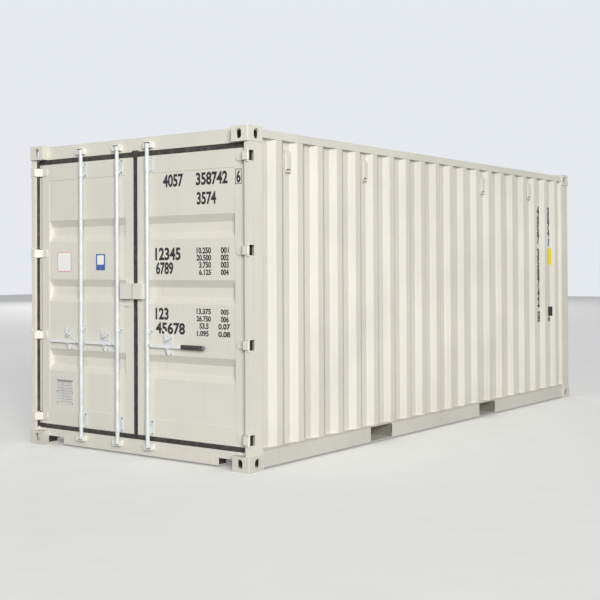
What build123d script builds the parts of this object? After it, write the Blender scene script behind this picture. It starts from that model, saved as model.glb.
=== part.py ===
from build123d import *
import math
import os

# Twenty-foot steel dry-freight container with double end doors.
# Millimetres, +Z up. The origin is the middle of the footprint, on the ground.
# X runs along the container: the doors are at -X and the closed front wall is at +X.
# Seen from outside the doors, the left leaf is on +Y and the right leaf is on -Y.
# Depths named "in" are measured inwards from the outer faces of the corner castings.

# Overall size
LENGTH = 6058.0
WIDTH = 2438.0
HEIGHT = 2591.0

# Corner castings
CASTING_LENGTH = 178.0
CASTING_WIDTH = 162.0
CASTING_HEIGHT = 118.0
CASTING_OUTER_WALL = 17.0
CASTING_INNER_WALL = 12.0
CASTING_SLOT_PLATE = 28.5
CASTING_BACK_PLATE = 14.0
CASTING_EDGE_RADIUS = 6.0
SLOT_LENGTH = 124.0
SLOT_WIDTH = 63.5
SLOT_END_IN = 102.5
SLOT_SIDE_IN = 89.5
APERTURE_HEIGHT = 79.0
END_APERTURE_WIDTH = 51.0
SIDE_APERTURE_WIDTH = 63.5

# Side rails
RAIL_IN = 10.0
RAIL_THICKNESS = 4.5
BOTTOM_RAIL_CLEARANCE = 17.0
BOTTOM_RAIL_TOP = 158.0
BOTTOM_RAIL_WEB_IN = 14.0
BOTTOM_RAIL_GROOVE_DEPTH = 9.0
BOTTOM_RAIL_GROOVE_HEIGHT = 12.0
BOTTOM_RAIL_TOP_FLANGE = 49.0
BOTTOM_RAIL_FOOT_FLANGE = 30.0
TOP_RAIL_SIZE = 60.0
TOP_RAIL_WALL = 3.0
TOP_RAIL_TOP = 2570.0

# Side walls, with vertical corrugations
SHEET = 2.0
SIDE_WALL_IN = 11.0
SIDE_WALL_DEPTH = 36.0
SIDE_WALL_CREST = 72.0
SIDE_WALL_SLOPE = 68.0
SIDE_WALL_PITCH = 280.0
SIDE_WALL_FIRST_CREST = 399.0
SIDE_WALL_CRESTS = 20

# Front wall
FRONT_WALL_IN = 9.0
FRONT_WALL_DEPTH = 45.6
FRONT_WALL_CREST = 110.0
FRONT_WALL_SLOPE = 18.0
FRONT_WALL_PITCH = 250.0
FRONT_WALL_CRESTS = 8
FRONT_POST_IN = 7.0
FRONT_POST_WALL = 6.0
FRONT_RAIL_SIZE = 60.0
FRONT_PLATE_THICKNESS = 4.0

# Roof
ROOF_EDGE_IN = 14.0
ROOF_RIB_HEIGHT = 13.0
ROOF_RIB_BASE = 118.0
ROOF_RIB_PITCH = 209.0
ROOF_RIB_COUNT = 27
ROOF_RIB_SIDE_IN = 40.0
ROOF_RIB_SLOPE_DEG = 45.0

# Floor and cross members
FLOOR_THICKNESS = 28.0
FLOOR_TOP = 171.5
CROSS_MEMBER_FLANGE = 45.0
CROSS_MEMBER_WALL = 4.0
CROSS_MEMBER_PITCH = 300.0
CROSS_MEMBER_COUNT = 18

# Fork pockets
POCKET_CENTRES = (-1140.0, 915.0)
POCKET_WIDTH = 356.0
POCKET_WALL = 4.5
POCKET_STRAP_THICKNESS = 6.0
POCKET_STRAP_LENGTH = 200.0

# Rear posts
POST_FACE_IN = 16.0
POST_SIDE_IN = 3.0
POST_WIDTH = 44.0
POST_WALL = 8.0

# Header and sill round the doorway
FRAME_FACE_IN = 68.0
HEADER_TOP = 2585.0
HEADER_WALL = 6.0
LIP_THICKNESS = 6.0
LIP_DROP = 41.0
LEAF_TO_STEP = 6.0
SILL_DEPTH = 95.0
SILL_WALL = 6.0
SILL_STEP_TOP = 137.0
SILL_NOTCH_WIDTH = 190.0
SILL_NOTCH_TOP = 75.0

# Door leaves
LEAF_FACE_IN = 63.0
LEAF_THICKNESS = 50.0
LEAF_BOTTOM = 178.0
LEAF_TOP = 2430.0
LEAF_HINGE_GAP = 38.0
LEAF_SEAM_GAP = 22.0
STILE_WIDTH = 92.0
STILE_WALL = 3.2
LEAF_RAIL_HEIGHT = 138.0
LEAF_RAIL_WALL = 3.0
PANEL_IN = 3.0
PANEL_RIB_DEPTH = 36.0
PANEL_RIB_SLOPE = 60.0
PANEL_RIB_FLAT = 70.0
PANEL_RIB_TOPS = (1941.0, 1431.0, 833.0)

# Door gaskets
GASKET_DEPTH = 32.0
GASKET_CLEARANCE = 5.0
GASKET_SEAM_GAP = 4.0
GASKET_RIDGE = 3.0

# Hinges
PIN_IN = 12.0
PIN_RADIUS = 6.0
PIN_CLEARANCE = 0.08
KNUCKLE_RADIUS = 11.0
HINGE_HEIGHT = 68.0
HINGE_TOP = 2365.0
HINGE_PITCH = 708.0
HINGE_COUNT = 4
HINGE_THICKNESS = 9.0
HINGE_REACH = 72.0
HINGE_END_RADIUS = 24.0
HINGE_TO_POST = 5.0
HINGE_TO_GASKET = 12.0
LUG_THICKNESS = 10.0
LUG_GAP = 2.0
NOTCH_LENGTH = 64.0
NOTCH_CLEARANCE = 5.0

# Locking bars
BAR_IN = 40.0
BAR_RADIUS = 17.0
BAR_WALL = 3.0
BAR_BOTTOM = 84.0
BAR_TOP = 2530.0
BAR_OFFSETS = (618.0, 188.0, -152.0)
HANDLE_SIDES = (1, 1, -1)
CAM_RADIUS = 20.0
CAM_LOBE = 34.0
CAM_LOBE_WIDTH = 22.0
CAM_HEIGHT = 36.0
CAM_SETBACK = 2.0

# Keepers on header and sill
KEEPER_GAP = 6.5
KEEPER_WALL = 6.0
KEEPER_BASE = 3.0
KEEPER_REACH_IN = 23.0

# Bar bearings
BEARING_GAP = 0.5
BEARING_WALL = 3.5
BEARING_FLANGE = 45.0
BEARING_FLANGE_WALL = 4.0
BEARING_SADDLE = 30.0
TALL_BEARING_HEIGHT = 122.0
TALL_BEARING_MARGIN = 8.0
MIDDLE_BEARING_Z = 1018.0
MIDDLE_BEARING_FLANGE = 36.0

# Handles
HANDLE_Z = 907.0
HANDLE_HEIGHT = 28.0
HANDLE_THICKNESS = 10.0
HANDLE_FACE_IN = 30.0
HANDLE_REACHES = (380.0, 380.0, 608.0)
HANDLE_PIVOT = 44.0
HUB_RADIUS = 21.0
HUB_HEIGHT = 64.0
HUB_EAR_WALL = 3.0
HUB_EAR_GAP = 1.0
HANDLE_PIN_RADIUS = 6.0
GRIP_START = 368.0
GRIP_END = 582.0
GRIP_WALL = 4.0

# Handle retainers and catches
REST_GAP = 0.3
RETAINER_OFFSETS = (160.0, 157.0, 212.0)
RETAINER_WIDTH = 66.0
RETAINER_TOP_RISE = 78.0
RETAINER_FOOT_DROP = 70.0
RETAINER_SEAT_WALL = 6.0
RETAINER_SEAT_WIDTH = 36.0
CATCH_PIVOT_RISE = 58.0
CATCH_IN = 22.0
CATCH_WALL = 3.0
CATCH_HEAD_RADIUS = 16.0
CATCH_BOSS_RADIUS = 9.0
CATCH_LENGTH = 64.0
CATCH_WIDTH = 24.0
CATCH_PIN_RADIUS = 5.0

# Lock box over the seam, in two halves
LOCK_BOX_BOTTOM = 1276.0
LOCK_BOX_TOP = 1404.0
LOCK_BOX_REACHES = (137.0, 107.0)
LOCK_BOX_SEAM_GAP = 4.0
LOCK_BOX_FACE_IN = 19.0
LOCK_BOX_WALL = 4.0

# Side vents
VENT_TROUGHS = (1, 5, 13, 17)
VENT_CENTRE_Z = 2360.0
VENT_WIDTH = 68.0
VENT_HEIGHT = 220.0
VENT_PLATE = 3.0
VENT_HOOD_DEPTH = 26.0
VENT_HOOD_WIDTH = 54.0
VENT_HOOD_HEIGHT = 180.0
VENT_HOOD_WALL = 3.0

# Faces that several pieces share
REAR = -LENGTH / 2
FRONT = LENGTH / 2
SIDE = WIDTH / 2
CASTING_TOP_LOW = HEIGHT - CASTING_HEIGHT
REAR_CASTING_BACK = REAR + CASTING_LENGTH
FRONT_CASTING_BACK = FRONT - CASTING_LENGTH
CASTING_INSIDE = SIDE - CASTING_WIDTH
RAIL_SIDE = SIDE - RAIL_IN
POST_OUTSIDE = SIDE - POST_SIDE_IN
POST_INSIDE = POST_OUTSIDE - POST_WIDTH
POST_FACE = REAR + POST_FACE_IN
POST_BACK = REAR_CASTING_BACK
FRONT_POST_FACE = FRONT - FRONT_POST_IN
FRONT_POST_BACK = FRONT_CASTING_BACK
WALL_OUTSIDE = SIDE - SIDE_WALL_IN
WALL_INSIDE = WALL_OUTSIDE - SIDE_WALL_DEPTH
TOP_RAIL_BOTTOM = TOP_RAIL_TOP - TOP_RAIL_SIZE
WEB_OUTSIDE = SIDE - BOTTOM_RAIL_WEB_IN
GROOVE_SIDE = WEB_OUTSIDE - BOTTOM_RAIL_GROOVE_DEPTH
GROOVE_TOP = BOTTOM_RAIL_TOP - RAIL_THICKNESS
GROOVE_BOTTOM = GROOVE_TOP - BOTTOM_RAIL_GROOVE_HEIGHT
FLOOR_BOTTOM = FLOOR_TOP - FLOOR_THICKNESS
FRAME_FACE = REAR + FRAME_FACE_IN
LEAF_FACE = REAR + LEAF_FACE_IN
LEAF_BACK = LEAF_FACE + LEAF_THICKNESS
LEAF_HINGE_EDGE = POST_INSIDE - LEAF_HINGE_GAP
STEP_FACE = LEAF_BACK + LEAF_TO_STEP
SILL_BACK = FRAME_FACE + SILL_DEPTH
PANEL_FACE = LEAF_FACE + PANEL_IN
PANEL_LOW = LEAF_BOTTOM + LEAF_RAIL_HEIGHT
PANEL_HIGH = LEAF_TOP - LEAF_RAIL_HEIGHT
PIN_X = REAR + PIN_IN
PIN_SIDE = SIDE - PIN_IN
BAR_X = REAR + BAR_IN
HANDLE_FACE = REAR + HANDLE_FACE_IN
CATCH_FACE = REAR + CATCH_IN
HINGE_LEVELS = [HINGE_TOP - HINGE_PITCH * n for n in range(HINGE_COUNT)]
FRONT_WALL_FACE = FRONT - FRONT_WALL_IN
FRONT_WALL_BACK = FRONT_WALL_FACE - FRONT_WALL_DEPTH


def block(x, y, z):
    """A box from its low and high ends along X, Y and Z, given in either order."""
    low = [min(span) for span in (x, y, z)]
    high = [max(span) for span in (x, y, z)]
    middle = [(a + b) / 2 for a, b in zip(low, high)]
    return Pos(*middle) * Box(*[b - a for a, b in zip(low, high)])


def upright(points, z_low, z_high):
    """A prism with its outline given in X and Y."""
    outline = Polyline(*[(x, y, z_low) for x, y in points], close=True)
    return extrude(make_face(outline), z_high - z_low, dir=(0, 0, 1))


def lengthwise(points, x_low, x_high):
    """A prism along X with its outline given in Y and Z."""
    outline = Polyline(*[(x_low, y, z) for y, z in points], close=True)
    return extrude(make_face(outline), x_high - x_low, dir=(1, 0, 0))


def crosswise(points, y_low, y_high):
    """A prism along Y with its outline given in X and Z."""
    outline = Polyline(*[(x, y_low, z) for x, z in points], close=True)
    return extrude(make_face(outline), y_high - y_low, dir=(0, 1, 0))


def rod_x(radius, x_low, x_high, y, z):
    """A round bar along X."""
    return Pos((x_low + x_high) / 2, y, z) * Rot(0, 90, 0) * Cylinder(radius, x_high - x_low)


def rod_z(radius, z_low, z_high, x, y):
    """A round bar along Z."""
    return Pos(x, y, (z_low + z_high) / 2) * Cylinder(radius, z_high - z_low)


def other_side(shape):
    """The same piece mirrored to the other side of the container."""
    return mirror(shape, about=Plane.XZ)


def sided(shape, side):
    """A piece drawn on +Y, put on the side asked for."""
    return shape if side > 0 else other_side(shape)


def wave(start, end, first_crest, pitch, count, crest, slope):
    """Stations and heights, 0 in a trough and 1 on a crest, of a corrugated sheet."""
    line = [(start, 0.0)]
    for n in range(count):
        centre = first_crest + pitch * n
        foot = crest / 2 + slope
        line += [(centre - foot, 0.0), (centre - crest / 2, 1.0), (centre + crest / 2, 1.0), (centre + foot, 0.0)]
    return line + [(end, 0.0)]


# Corner castings
def casting(end, side, top):
    """One hollow corner casting with a slot above or below and a hole in each outer face."""
    x_out, x_in = FRONT, FRONT - CASTING_LENGTH
    y_out, y_in = SIDE, CASTING_INSIDE
    body = block((x_in, x_out), (y_in, y_out), (0, CASTING_HEIGHT))
    outer_edges = [e for e in body.edges() if e.center().X > x_out - 1 and e.center().Y > y_out - 1]
    body = fillet(outer_edges, CASTING_EDGE_RADIUS)
    body -= block(
        (x_in + CASTING_INNER_WALL, x_out - CASTING_OUTER_WALL),
        (y_in + CASTING_INNER_WALL, y_out - CASTING_OUTER_WALL),
        (CASTING_SLOT_PLATE, CASTING_HEIGHT - CASTING_BACK_PLATE),
    )
    slot = Pos(x_out - SLOT_END_IN, y_out - SLOT_SIDE_IN, 0) * SlotOverall(SLOT_LENGTH, SLOT_WIDTH)
    body -= extrude(slot, CASTING_SLOT_PLATE)
    middle = CASTING_HEIGHT / 2
    end_hole = Plane((x_out - CASTING_OUTER_WALL, y_out - SLOT_SIDE_IN, middle), x_dir=(0, 0, 1), z_dir=(1, 0, 0))
    body -= extrude(end_hole * SlotOverall(APERTURE_HEIGHT, END_APERTURE_WIDTH), CASTING_OUTER_WALL)
    side_hole = Plane((x_out - SLOT_END_IN, y_out - CASTING_OUTER_WALL, middle), x_dir=(0, 0, 1), z_dir=(0, 1, 0))
    body -= extrude(side_hole * SlotOverall(APERTURE_HEIGHT, SIDE_APERTURE_WIDTH), CASTING_OUTER_WALL)
    if top:
        body = Pos(0, 0, HEIGHT) * mirror(body, about=Plane.XY)
    if end < 0:
        body = mirror(body, about=Plane.YZ)
    return sided(body, side)


# Rear posts, with a notch and a pair of lugs for each hinge
def rear_post(side):
    outside, inside = POST_OUTSIDE, POST_INSIDE
    span = (CASTING_HEIGHT, CASTING_TOP_LOW)
    post = block((POST_FACE, POST_BACK), (inside, outside), span)
    post -= block(
        (POST_FACE + POST_WALL, POST_BACK - POST_WALL),
        (inside + POST_WALL, outside - POST_WALL),
        span,
    )
    half_notch = HINGE_HEIGHT / 2 + NOTCH_CLEARANCE
    for level in HINGE_LEVELS:
        post -= block(
            (POST_FACE, POST_FACE + NOTCH_LENGTH),
            (PIN_SIDE - KNUCKLE_RADIUS - NOTCH_CLEARANCE, outside),
            (level - half_notch, level + half_notch),
        )
        for direction in (-1, 1):
            near = level + direction * (half_notch - LUG_GAP)
            far = near + direction * LUG_THICKNESS
            post += hinge_lug(near, far)
        pin_half = half_notch - LUG_GAP + LUG_THICKNESS
        post += rod_z(PIN_RADIUS, level - pin_half, level + pin_half, PIN_X, PIN_SIDE)
    return sided(post, side)


def hinge_lug(near, far):
    """The plate that holds one end of a hinge pin in the corner of the post."""
    low, high = sorted((near, far))
    lug = rod_z(KNUCKLE_RADIUS, low, high, PIN_X, PIN_SIDE)
    lug += block((PIN_X, POST_FACE + POST_WALL), (PIN_SIDE - KNUCKLE_RADIUS, PIN_SIDE + KNUCKLE_RADIUS), (low, high))
    return lug


def front_post(side):
    """The pressed front corner post, an open section with two returns."""
    t = FRONT_POST_WALL
    outline = [
        (FRONT_POST_BACK, WALL_INSIDE),
        (FRONT_POST_BACK, RAIL_SIDE),
        (FRONT_POST_FACE, RAIL_SIDE),
        (FRONT_POST_FACE, CASTING_INSIDE),
        (FRONT_WALL_BACK, CASTING_INSIDE),
        (FRONT_WALL_BACK, CASTING_INSIDE + t),
        (FRONT_POST_FACE - t, CASTING_INSIDE + t),
        (FRONT_POST_FACE - t, RAIL_SIDE - t),
        (FRONT_POST_BACK + t, RAIL_SIDE - t),
        (FRONT_POST_BACK + t, WALL_INSIDE),
    ]
    return sided(upright(outline, CASTING_HEIGHT, CASTING_TOP_LOW), side)


# Doorway frame
def door_header():
    width = (-CASTING_INSIDE, CASTING_INSIDE)
    header = block((FRAME_FACE, REAR_CASTING_BACK), width, (CASTING_TOP_LOW, HEADER_TOP))
    return header - block(
        (FRAME_FACE + HEADER_WALL, REAR_CASTING_BACK - HEADER_WALL),
        width,
        (CASTING_TOP_LOW + HEADER_WALL, HEADER_TOP - HEADER_WALL),
    )


def rain_lip():
    """The strip under the header that the leaves close against."""
    return block(
        (STEP_FACE, STEP_FACE + LIP_THICKNESS),
        (-POST_INSIDE, POST_INSIDE),
        (CASTING_TOP_LOW - LIP_DROP, CASTING_TOP_LOW),
    )


def door_sill():
    width = (-CASTING_INSIDE, CASTING_INSIDE)
    sill = block((FRAME_FACE, SILL_BACK), width, (BOTTOM_RAIL_CLEARANCE, CASTING_HEIGHT))
    sill -= block(
        (FRAME_FACE + SILL_WALL, SILL_BACK - SILL_WALL),
        width,
        (BOTTOM_RAIL_CLEARANCE + SILL_WALL, CASTING_HEIGHT - SILL_WALL),
    )
    notch = block(
        (FRAME_FACE, SILL_BACK),
        (CASTING_INSIDE - SILL_NOTCH_WIDTH, CASTING_INSIDE),
        (BOTTOM_RAIL_CLEARANCE, SILL_NOTCH_TOP),
    )
    return sill - notch - other_side(notch)


def threshold():
    """The stepped plate over the sill, from the gasket line up to the floor."""
    outline = [
        (FRAME_FACE, CASTING_HEIGHT),
        (FRAME_FACE, SILL_STEP_TOP),
        (STEP_FACE, SILL_STEP_TOP),
        (STEP_FACE, FLOOR_TOP),
        (SILL_BACK, FLOOR_TOP),
        (SILL_BACK, CASTING_HEIGHT),
    ]
    return crosswise(outline, -POST_INSIDE, POST_INSIDE)


# Rails
def top_side_rail(side):
    rail = block(
        (REAR_CASTING_BACK, FRONT_CASTING_BACK),
        (RAIL_SIDE - TOP_RAIL_SIZE, RAIL_SIDE),
        (TOP_RAIL_BOTTOM, TOP_RAIL_TOP),
    )
    rail -= block(
        (REAR_CASTING_BACK, FRONT_CASTING_BACK),
        (RAIL_SIDE - TOP_RAIL_SIZE + TOP_RAIL_WALL, RAIL_SIDE - TOP_RAIL_WALL),
        (TOP_RAIL_BOTTOM + TOP_RAIL_WALL, TOP_RAIL_TOP - TOP_RAIL_WALL),
    )
    return sided(rail, side)


def bottom_side_rail(side):
    """Three lengths of rolled channel, between the castings and the fork pockets."""
    t = RAIL_THICKNESS
    foot = BOTTOM_RAIL_CLEARANCE
    outline = [
        (WEB_OUTSIDE, foot),
        (WEB_OUTSIDE, GROOVE_BOTTOM),
        (GROOVE_SIDE, GROOVE_BOTTOM),
        (GROOVE_SIDE, GROOVE_TOP),
        (RAIL_SIDE, GROOVE_TOP),
        (RAIL_SIDE, BOTTOM_RAIL_TOP),
        (RAIL_SIDE - BOTTOM_RAIL_TOP_FLANGE, BOTTOM_RAIL_TOP),
        (RAIL_SIDE - BOTTOM_RAIL_TOP_FLANGE, GROOVE_TOP),
        (GROOVE_SIDE - t, GROOVE_TOP),
        (GROOVE_SIDE - t, GROOVE_BOTTOM - t),
        (WEB_OUTSIDE - t, GROOVE_BOTTOM - t),
        (WEB_OUTSIDE - t, foot + t),
        (WEB_OUTSIDE - BOTTOM_RAIL_FOOT_FLANGE, foot + t),
        (WEB_OUTSIDE - BOTTOM_RAIL_FOOT_FLANGE, foot),
    ]
    edges = [centre + way * POCKET_WIDTH / 2 for centre in POCKET_CENTRES for way in (-1, 1)]
    starts = [REAR_CASTING_BACK] + edges[1::2]
    ends = edges[0::2] + [FRONT_CASTING_BACK]
    lengths = [lengthwise(outline, start, end) for start, end in zip(starts, ends)]
    return Compound(children=[sided(length, side) for length in lengths])


def front_rail(low, high):
    """A box rail across the closed end, between two castings."""
    width = (-CASTING_INSIDE, CASTING_INSIDE)
    rail = block((FRONT_WALL_FACE - FRONT_RAIL_SIZE, FRONT_WALL_FACE), width, (low, high))
    return rail - block(
        (FRONT_WALL_FACE - FRONT_RAIL_SIZE + RAIL_THICKNESS, FRONT_WALL_FACE - RAIL_THICKNESS),
        width,
        (low + RAIL_THICKNESS, high - RAIL_THICKNESS),
    )


# Walls and roof
def side_wall(side):
    """One corrugated sheet standing on the bottom rail, under the top rail."""
    line = wave(
        POST_BACK,
        FRONT_POST_BACK,
        REAR + SIDE_WALL_FIRST_CREST,
        SIDE_WALL_PITCH,
        SIDE_WALL_CRESTS,
        SIDE_WALL_CREST,
        SIDE_WALL_SLOPE,
    )
    rise = SIDE_WALL_DEPTH - SHEET
    inner = [(x, WALL_INSIDE + rise * level) for x, level in line]
    outer = [(x, y + SHEET) for x, y in reversed(inner)]
    return sided(upright(inner + outer, BOTTOM_RAIL_TOP, TOP_RAIL_BOTTOM), side)


def front_wall():
    """The corrugated end wall between the front posts."""
    middle = (FRONT_WALL_CRESTS - 1) / 2
    line = wave(
        -CASTING_INSIDE,
        CASTING_INSIDE,
        -FRONT_WALL_PITCH * middle,
        FRONT_WALL_PITCH,
        FRONT_WALL_CRESTS,
        FRONT_WALL_CREST,
        FRONT_WALL_SLOPE,
    )
    rise = FRONT_WALL_DEPTH - SHEET
    inner = [(FRONT_WALL_BACK + rise * level, y) for y, level in line]
    outer = [(x + SHEET, y) for x, y in reversed(inner)]
    return upright(inner + outer, BOTTOM_RAIL_TOP, TOP_RAIL_BOTTOM)


def roof():
    """A flat sheet with hollow pressed ribs across it, sloped at both ends."""
    half = SIDE - ROOF_EDGE_IN
    sheet = block((REAR_CASTING_BACK, FRONT_CASTING_BACK), (-half, half), (TOP_RAIL_TOP, TOP_RAIL_TOP + SHEET))
    length = 2 * (half - ROOF_RIB_SIDE_IN)
    first = -ROOF_RIB_PITCH * (ROOF_RIB_COUNT - 1) / 2
    base = Pos(0, 0, TOP_RAIL_TOP)
    rib = extrude(base * Rectangle(ROOF_RIB_BASE, length), ROOF_RIB_HEIGHT + SHEET, taper=ROOF_RIB_SLOPE_DEG)
    hollow = extrude(
        base * Rectangle(ROOF_RIB_BASE - 2 * SHEET, length - 2 * SHEET),
        ROOF_RIB_HEIGHT,
        taper=ROOF_RIB_SLOPE_DEG,
    )
    for n in range(ROOF_RIB_COUNT):
        place = Pos(first + ROOF_RIB_PITCH * n, 0, 0)
        sheet = sheet + place * rib - place * hollow
    return sheet


def front_header_plate():
    """The flat plate that closes the roof between the front castings."""
    thickness = (TOP_RAIL_TOP, TOP_RAIL_TOP + FRONT_PLATE_THICKNESS)
    return block((FRONT_CASTING_BACK, FRONT_WALL_FACE), (-CASTING_INSIDE, CASTING_INSIDE), thickness)


# Floor and underframe
def floor():
    edge = RAIL_SIDE - BOTTOM_RAIL_TOP_FLANGE
    return block((SILL_BACK, FRONT_WALL_FACE - FRONT_RAIL_SIZE), (-edge, edge), (FLOOR_BOTTOM, FLOOR_TOP))


def cross_members():
    """Channels under the floor, left out where the fork pockets pass."""
    reach = GROOVE_SIDE - RAIL_THICKNESS
    low = BOTTOM_RAIL_CLEARANCE + RAIL_THICKNESS
    members = []
    for n in range(CROSS_MEMBER_COUNT):
        x = CROSS_MEMBER_PITCH * (n - (CROSS_MEMBER_COUNT - 1) / 2)
        blocked = [abs(x - centre) < POCKET_WIDTH / 2 + 2 * CROSS_MEMBER_FLANGE for centre in POCKET_CENTRES]
        if any(blocked):
            continue
        flange = x + CROSS_MEMBER_FLANGE
        outline = [
            (x, low),
            (flange, low),
            (flange, low + CROSS_MEMBER_WALL),
            (x + CROSS_MEMBER_WALL, low + CROSS_MEMBER_WALL),
            (x + CROSS_MEMBER_WALL, FLOOR_BOTTOM - CROSS_MEMBER_WALL),
            (flange, FLOOR_BOTTOM - CROSS_MEMBER_WALL),
            (flange, FLOOR_BOTTOM),
            (x, FLOOR_BOTTOM),
        ]
        members.append(crosswise(outline, -reach, reach))
    return Compound(children=members)


def pocket_span(centre, margin=0.0):
    """The low and high ends of a fork pocket along X."""
    half = POCKET_WIDTH / 2 + margin
    return centre - half, centre + half


def fork_pocket_walls():
    """The upright plates on both sides of each fork pocket."""
    reach = GROOVE_SIDE - RAIL_THICKNESS
    height = (BOTTOM_RAIL_CLEARANCE + POCKET_STRAP_THICKNESS, FLOOR_BOTTOM)
    plates = []
    for centre in POCKET_CENTRES:
        inner = pocket_span(centre)
        outer = pocket_span(centre, POCKET_WALL)
        for near, far in zip(inner, outer):
            plates.append(block((near, far), (-reach, reach), height))
    return Compound(children=plates)


def fork_pocket_tops():
    """The plate over each fork pocket, under the floor."""
    reach = GROOVE_SIDE - RAIL_THICKNESS
    height = (FLOOR_BOTTOM - POCKET_WALL, FLOOR_BOTTOM)
    return Compound(children=[block(pocket_span(centre), (-reach, reach), height) for centre in POCKET_CENTRES])


def fork_pocket_rims():
    """The lintel over each pocket's mouth and the strap under it."""
    strap_height = (BOTTOM_RAIL_CLEARANCE, BOTTOM_RAIL_CLEARANCE + POCKET_STRAP_THICKNESS)
    strap_depth = (WEB_OUTSIDE - POCKET_STRAP_LENGTH, WEB_OUTSIDE)
    lintel = [
        (GROOVE_SIDE, GROOVE_BOTTOM),
        (GROOVE_SIDE, GROOVE_TOP),
        (RAIL_SIDE, GROOVE_TOP),
        (RAIL_SIDE, BOTTOM_RAIL_TOP),
        (RAIL_SIDE - BOTTOM_RAIL_TOP_FLANGE, BOTTOM_RAIL_TOP),
        (RAIL_SIDE - BOTTOM_RAIL_TOP_FLANGE, GROOVE_TOP),
        (GROOVE_SIDE - RAIL_THICKNESS, GROOVE_TOP),
        (GROOVE_SIDE - RAIL_THICKNESS, GROOVE_BOTTOM),
    ]
    pieces = []
    for centre in POCKET_CENTRES:
        span = pocket_span(centre)
        pieces.append(lengthwise(lintel, *span))
        pieces.append(block(span, strap_depth, strap_height))
    return Compound(children=pieces + [other_side(piece) for piece in pieces])


# Vents
def side_vent(trough):
    """A small hooded ventilator in a trough of the side wall, open below."""
    x = REAR + SIDE_WALL_FIRST_CREST + SIDE_WALL_PITCH * (trough - 0.5)
    face = WALL_INSIDE + SHEET
    plate_face = face + VENT_PLATE
    low = VENT_CENTRE_Z - VENT_HEIGHT / 2
    vent = block((x - VENT_WIDTH / 2, x + VENT_WIDTH / 2), (face, plate_face), (low, low + VENT_HEIGHT))
    hood_low = VENT_CENTRE_Z - VENT_HOOD_HEIGHT / 2
    hood_high = VENT_CENTRE_Z + VENT_HOOD_HEIGHT / 2
    slant = VENT_HOOD_DEPTH
    outline = [
        (plate_face, hood_low),
        (plate_face + VENT_HOOD_DEPTH, hood_low + slant),
        (plate_face + VENT_HOOD_DEPTH, hood_high - slant),
        (plate_face, hood_high),
    ]
    half = VENT_HOOD_WIDTH / 2
    hood = lengthwise(outline, x - half, x + half)
    t = VENT_HOOD_WALL
    hollow = [
        (plate_face, hood_low - t),
        (plate_face + VENT_HOOD_DEPTH - t, hood_low - t),
        (plate_face + VENT_HOOD_DEPTH - t, hood_high - slant),
        (plate_face, hood_high - 2 * t),
    ]
    return vent + hood - lengthwise(hollow, x - half + t, x + half - t)


def side_vents():
    vents = [side_vent(trough) for trough in VENT_TROUGHS]
    return Compound(children=vents + [other_side(vent) for vent in vents])


# Door leaves, drawn on +Y
def leaf_frame():
    """Two box stiles joined by a channel at the top and one at the bottom."""
    stiles = []
    for low in (LEAF_SEAM_GAP, LEAF_HINGE_EDGE - STILE_WIDTH):
        high = low + STILE_WIDTH
        stile = block((LEAF_FACE, LEAF_BACK), (low, high), (LEAF_BOTTOM, LEAF_TOP))
        stile -= block(
            (LEAF_FACE + STILE_WALL, LEAF_BACK - STILE_WALL),
            (low + STILE_WALL, high - STILE_WALL),
            (LEAF_BOTTOM, LEAF_TOP),
        )
        stiles.append(stile)
    frame = stiles[0] + stiles[1]
    across = (LEAF_SEAM_GAP + STILE_WIDTH, LEAF_HINGE_EDGE - STILE_WIDTH)
    for low, high in ((LEAF_BOTTOM, PANEL_LOW), (PANEL_HIGH, LEAF_TOP)):
        channel = block((LEAF_FACE, LEAF_BACK), across, (low, high))
        channel -= block(
            (LEAF_FACE + LEAF_RAIL_WALL, LEAF_BACK),
            across,
            (low + LEAF_RAIL_WALL, high - LEAF_RAIL_WALL),
        )
        frame += channel
    return frame


def leaf_panel():
    """The leaf's sheet, pressed inwards along three horizontal ribs."""
    line = [(PANEL_FACE, PANEL_HIGH)]
    for top in PANEL_RIB_TOPS:
        deep = PANEL_FACE + PANEL_RIB_DEPTH
        line += [
            (PANEL_FACE, top),
            (deep, top - PANEL_RIB_SLOPE),
            (deep, top - PANEL_RIB_SLOPE - PANEL_RIB_FLAT),
            (PANEL_FACE, top - 2 * PANEL_RIB_SLOPE - PANEL_RIB_FLAT),
        ]
    line.append((PANEL_FACE, PANEL_LOW))
    back = [(x + SHEET, z) for x, z in reversed(line)]
    return crosswise(line + back, LEAF_SEAM_GAP + STILE_WIDTH, LEAF_HINGE_EDGE - STILE_WIDTH)


def leaf_gasket():
    """The rubber seal round one leaf, with a raised ridge."""
    edge = POST_INSIDE - GASKET_CLEARANCE
    low = SILL_STEP_TOP + GASKET_CLEARANCE
    high = CASTING_TOP_LOW - GASKET_CLEARANCE
    back = LEAF_FACE + GASKET_DEPTH
    gasket = block((LEAF_FACE + GASKET_RIDGE, back), (GASKET_SEAM_GAP, edge), (low, high))
    ridge_y = (GASKET_SEAM_GAP + LEAF_SEAM_GAP) / 2 - GASKET_SEAM_GAP
    ridge_hinge = (edge - LEAF_HINGE_EDGE) / 3
    ridge_low = (LEAF_BOTTOM - low) / 3
    ridge_high = (high - LEAF_TOP) / 3
    gasket += block(
        (LEAF_FACE, LEAF_FACE + GASKET_RIDGE),
        (GASKET_SEAM_GAP + ridge_y / 2, edge - ridge_hinge),
        (low + ridge_low, high - ridge_high),
    )
    return gasket - block((LEAF_FACE, back), (LEAF_SEAM_GAP, LEAF_HINGE_EDGE), (LEAF_BOTTOM, LEAF_TOP))


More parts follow.
